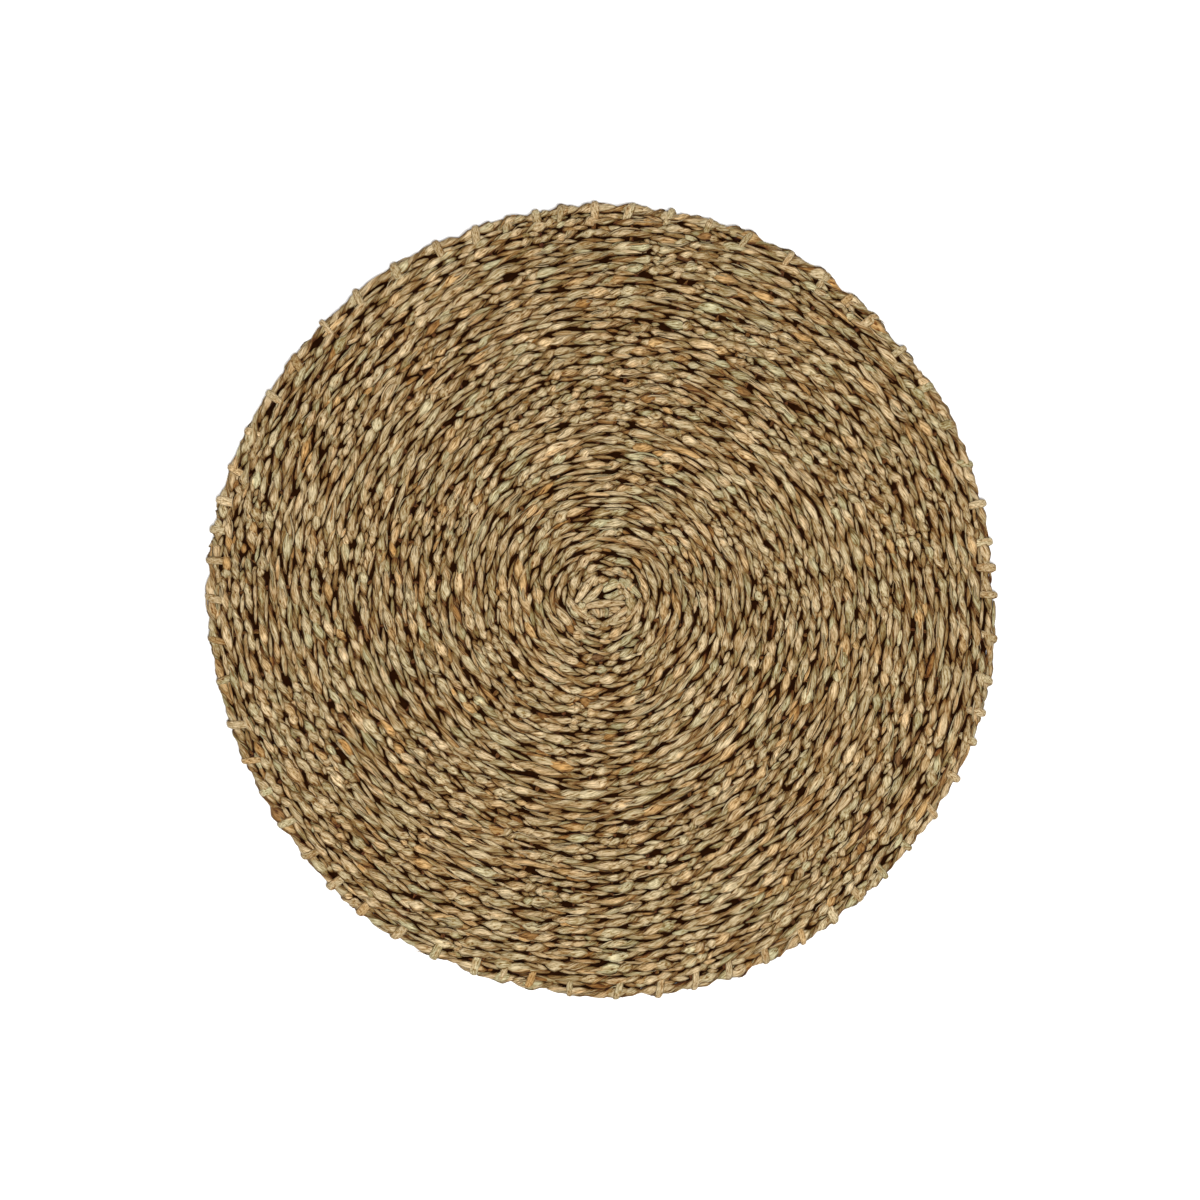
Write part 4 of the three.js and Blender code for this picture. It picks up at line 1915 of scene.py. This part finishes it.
@dataclass(frozen=True)
class InnerShadeFinish:
    """Inner leaves painted near-black: painted shade deep in the weave's gaps.

    Attributes:
        name: The material's name.
        light: Painted shade colour of the leaves' ridges.
        dark: Painted shade colour of the hollows between them.
        fineness: How many ridges and hollows there are in a metre.
        roughness: How dull they are.
    """

    name: str = "inner_leaves_painted_shade"
    light: tuple[int, int, int] = (42, 20, 6)
    dark: tuple[int, int, int] = (8, 2, 1)
    fineness: float = 420.0
    roughness: float = 0.9

    def build(self) -> bpy.types.Material:
        """Makes the material: the two colours mixed by a fine noise in the object's own space.

        Returns:
            The material.
        """
        material = bpy.data.materials.new(self.name)
        material.use_nodes = True
        nodes = NodeBench(material.node_tree)
        place = nodes.add("ShaderNodeTexCoord").outputs["Object"]
        noise = nodes.add("ShaderNodeTexNoise", {"Vector": place, "Scale": self.fineness})
        mix = nodes.add("ShaderNodeMix", data_type="RGBA")
        nodes.fill(mix, {"Factor": noise.outputs[0], "A": from_srgb(*self.dark), "B": from_srgb(*self.light)})
        shader = material.node_tree.nodes["Principled BSDF"]
        shader.inputs["Specular IOR Level"].default_value = 0.0
        nodes.fill(shader, {"Roughness": self.roughness, "Base Color": mix.outputs["Result"]})
        return material


@dataclass(frozen=True)
class Lamp:
    """A square lamp that faces the mat.

    Attributes:
        name: The lamp's name.
        place: Where it hangs, in metres.
        size: Its side.
        power: Its power in watts.
    """

    name: str
    place: tuple[float, float, float]
    size: float
    power: float

    def hang(self) -> None:
        """Adds the lamp, tilted from straight down and turned so that it faces the origin."""
        lamp = bpy.data.lights.new(self.name, "AREA")
        lamp.size = self.size
        lamp.energy = self.power
        stand = bpy.data.objects.new(self.name, lamp)
        stand.location = self.place
        tilt = math.acos(self.place[2] / math.dist(self.place, (0.0, 0.0, 0.0)))
        stand.rotation_euler = (0.0, tilt, math.atan2(self.place[1], self.place[0]))
        bpy.context.scene.collection.objects.link(stand)


@dataclass
class Studio:
    """Pale floor, soft light from above and a camera that looks straight down.

    Attributes:
        reach: Width of what the camera sees at the table.
        lens: Focal length, in millimetres.
        sensor: Width of the sensor, in millimetres.
        aim: Where the camera looks, off the mat's middle.
        lamps: A large lamp overhead and a wide weak one opposite.
        sky: Strength of the white light from all round.
        floor_half: Half the floor's width.
        paper: Grey of the floor.
    """

    reach: float
    lens: float = 85.0
    sensor: float = 36.0
    aim: tuple[float, float] = (-0.8 * MM, 0.3 * MM)
    lamps: tuple[Lamp, ...] = (
        Lamp("overhead", (0.15, -0.25, 1.7), 0.5, 37.0),
        Lamp("fill", (-0.8, 0.9, 1.2), 1.6, 5.0),
    )
    sky: float = 0.20
    floor_half: float = 3.0
    paper: float = 0.96

    def build(self) -> None:
        """Makes the floor, the lamps, the sky and the camera.

        The camera stands as high as its view is wide, times the focal length over the sensor's width.
        """
        scene = bpy.context.scene
        scene.view_settings.view_transform = "Standard"
        self.lay_floor()
        for lamp in self.lamps:
            lamp.hang()
        world = bpy.data.worlds.new("sky")
        world.use_nodes = True
        sky = world.node_tree.nodes["Background"]
        sky.inputs["Color"].default_value = (1.0, 1.0, 1.0, 1.0)
        sky.inputs["Strength"].default_value = self.sky
        scene.world = world

        camera = bpy.data.cameras.new("camera")
        camera.lens = self.lens
        camera.sensor_width = self.sensor
        camera.clip_start = 0.05
        camera.clip_end = 20.0
        stand = bpy.data.objects.new("camera", camera)
        stand.location = (self.aim[0], self.aim[1], self.reach * self.lens / self.sensor)
        scene.collection.objects.link(stand)
        scene.camera = stand

    def lay_floor(self) -> None:
        """Makes the pale floor, a wide square at the height that the mat lies on."""
        mesh = bpy.data.meshes.new("floor")
        half = self.floor_half
        corners = [(-half, -half, 0.0), (half, -half, 0.0), (half, half, 0.0), (-half, half, 0.0)]
        mesh.from_pydata(corners, [], [(0, 1, 2, 3)])
        floor = bpy.data.objects.new("floor", mesh)
        bpy.context.scene.collection.objects.link(floor)
        paper = bpy.data.materials.new("pale_floor")
        paper.use_nodes = True
        shader = paper.node_tree.nodes["Principled BSDF"]
        shader.inputs["Base Color"].default_value = (self.paper, self.paper, self.paper, 1.0)
        shader.inputs["Roughness"].default_value = 0.9
        shader.inputs["Specular IOR Level"].default_value = 0.1
        mesh.materials.append(paper)


class Placemat:
    """The whole mat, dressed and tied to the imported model."""

    def __init__(self) -> None:
        """Reads the mat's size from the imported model."""
        low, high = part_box(MAT_NODE)
        size = high - low
        self.plan = WeavePlan(outline_radius=(size.x + size.y) / 4.0, thickness=size.z)

    def weave(self) -> list[tuple[bpy.types.Object, bpy.types.Material]]:
        """Makes the woven pieces and their finishes.

        Returns:
            Each piece with its finish.
        """
        pattern = LeafPattern().build()
        weft_finish = SeagrassFinish("seagrass_weft", crease=0.82, leaves=2.0).build(pattern)
        spoke_finish = SeagrassFinish("seagrass_spokes", leaves=4.0, rust=0.8).build(pattern)
        groove_finish = SeagrassFinish("seagrass_groove", leaves=2.0, rust=0.6).build(pattern)
        loop_finish = SeagrassFinish("seagrass_loops", crease=0.70, leaves=2.0).build(pattern)
        weft = Weft(self.plan)
        beneath = GrooveLeaves(
            self.plan,
            name="groove_leaves_under",
            under=True,
            seed=84,
            density=0.85,
            sides=5,
            steps=5,
            length=(0.5, 0.9),
            half_width=(1.3 * MM, 2.1 * MM),
        )
        return [(piece, weft_finish) for piece in weft.build()] + [
            (LooseLeaves(weft, PEELS).build(), weft_finish),
            (LooseLeaves(weft, FRAYS).build(), weft_finish),
            (GrooveLeaves(self.plan).build(), groove_finish),
            (beneath.build(), groove_finish),
            (Spokes(self.plan).build(), spoke_finish),
            (CentreStart(self.plan).build(), weft_finish),
            (RimLoops(self.plan).build(), loop_finish),
        ]

    def build(self) -> None:
        woven = self.weave()
        for piece, finish in woven:
            self.dress(piece, finish)
        inner = InnerLeaves(self.plan)
        disc = inner.build()
        # The disc's near-black finish is painted shade in the weave's gaps.
        self.dress(disc, InnerShadeFinish().build())
        inner.flat_area()

    @staticmethod
    def dress(piece: bpy.types.Object, finish: bpy.types.Material) -> None:
        """Gives a piece its finish and its body, hides the imported mat, and reports it.

        Args:
            piece: The piece.
            finish: Its material.
        """
        piece.data.materials.append(finish)
        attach(piece, "root")
        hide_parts(MAT_NODE)
        triangles = sum(len(face.vertices) - 2 for face in piece.data.polygons)
        log.info("%s: %d triangles", piece.name, triangles)


def main() -> None:
    """Builds the mat, then the studio round it."""
    logging.basicConfig(level=logging.INFO)
    mat = Placemat()
    mat.build()
    mean_diameter = 2.0 * mat.plan.outline_radius
    Studio(reach=mean_diameter * PICTURE_WIDTH / MAT_IN_PICTURE).build()


if __name__ == "__main__":
    main()
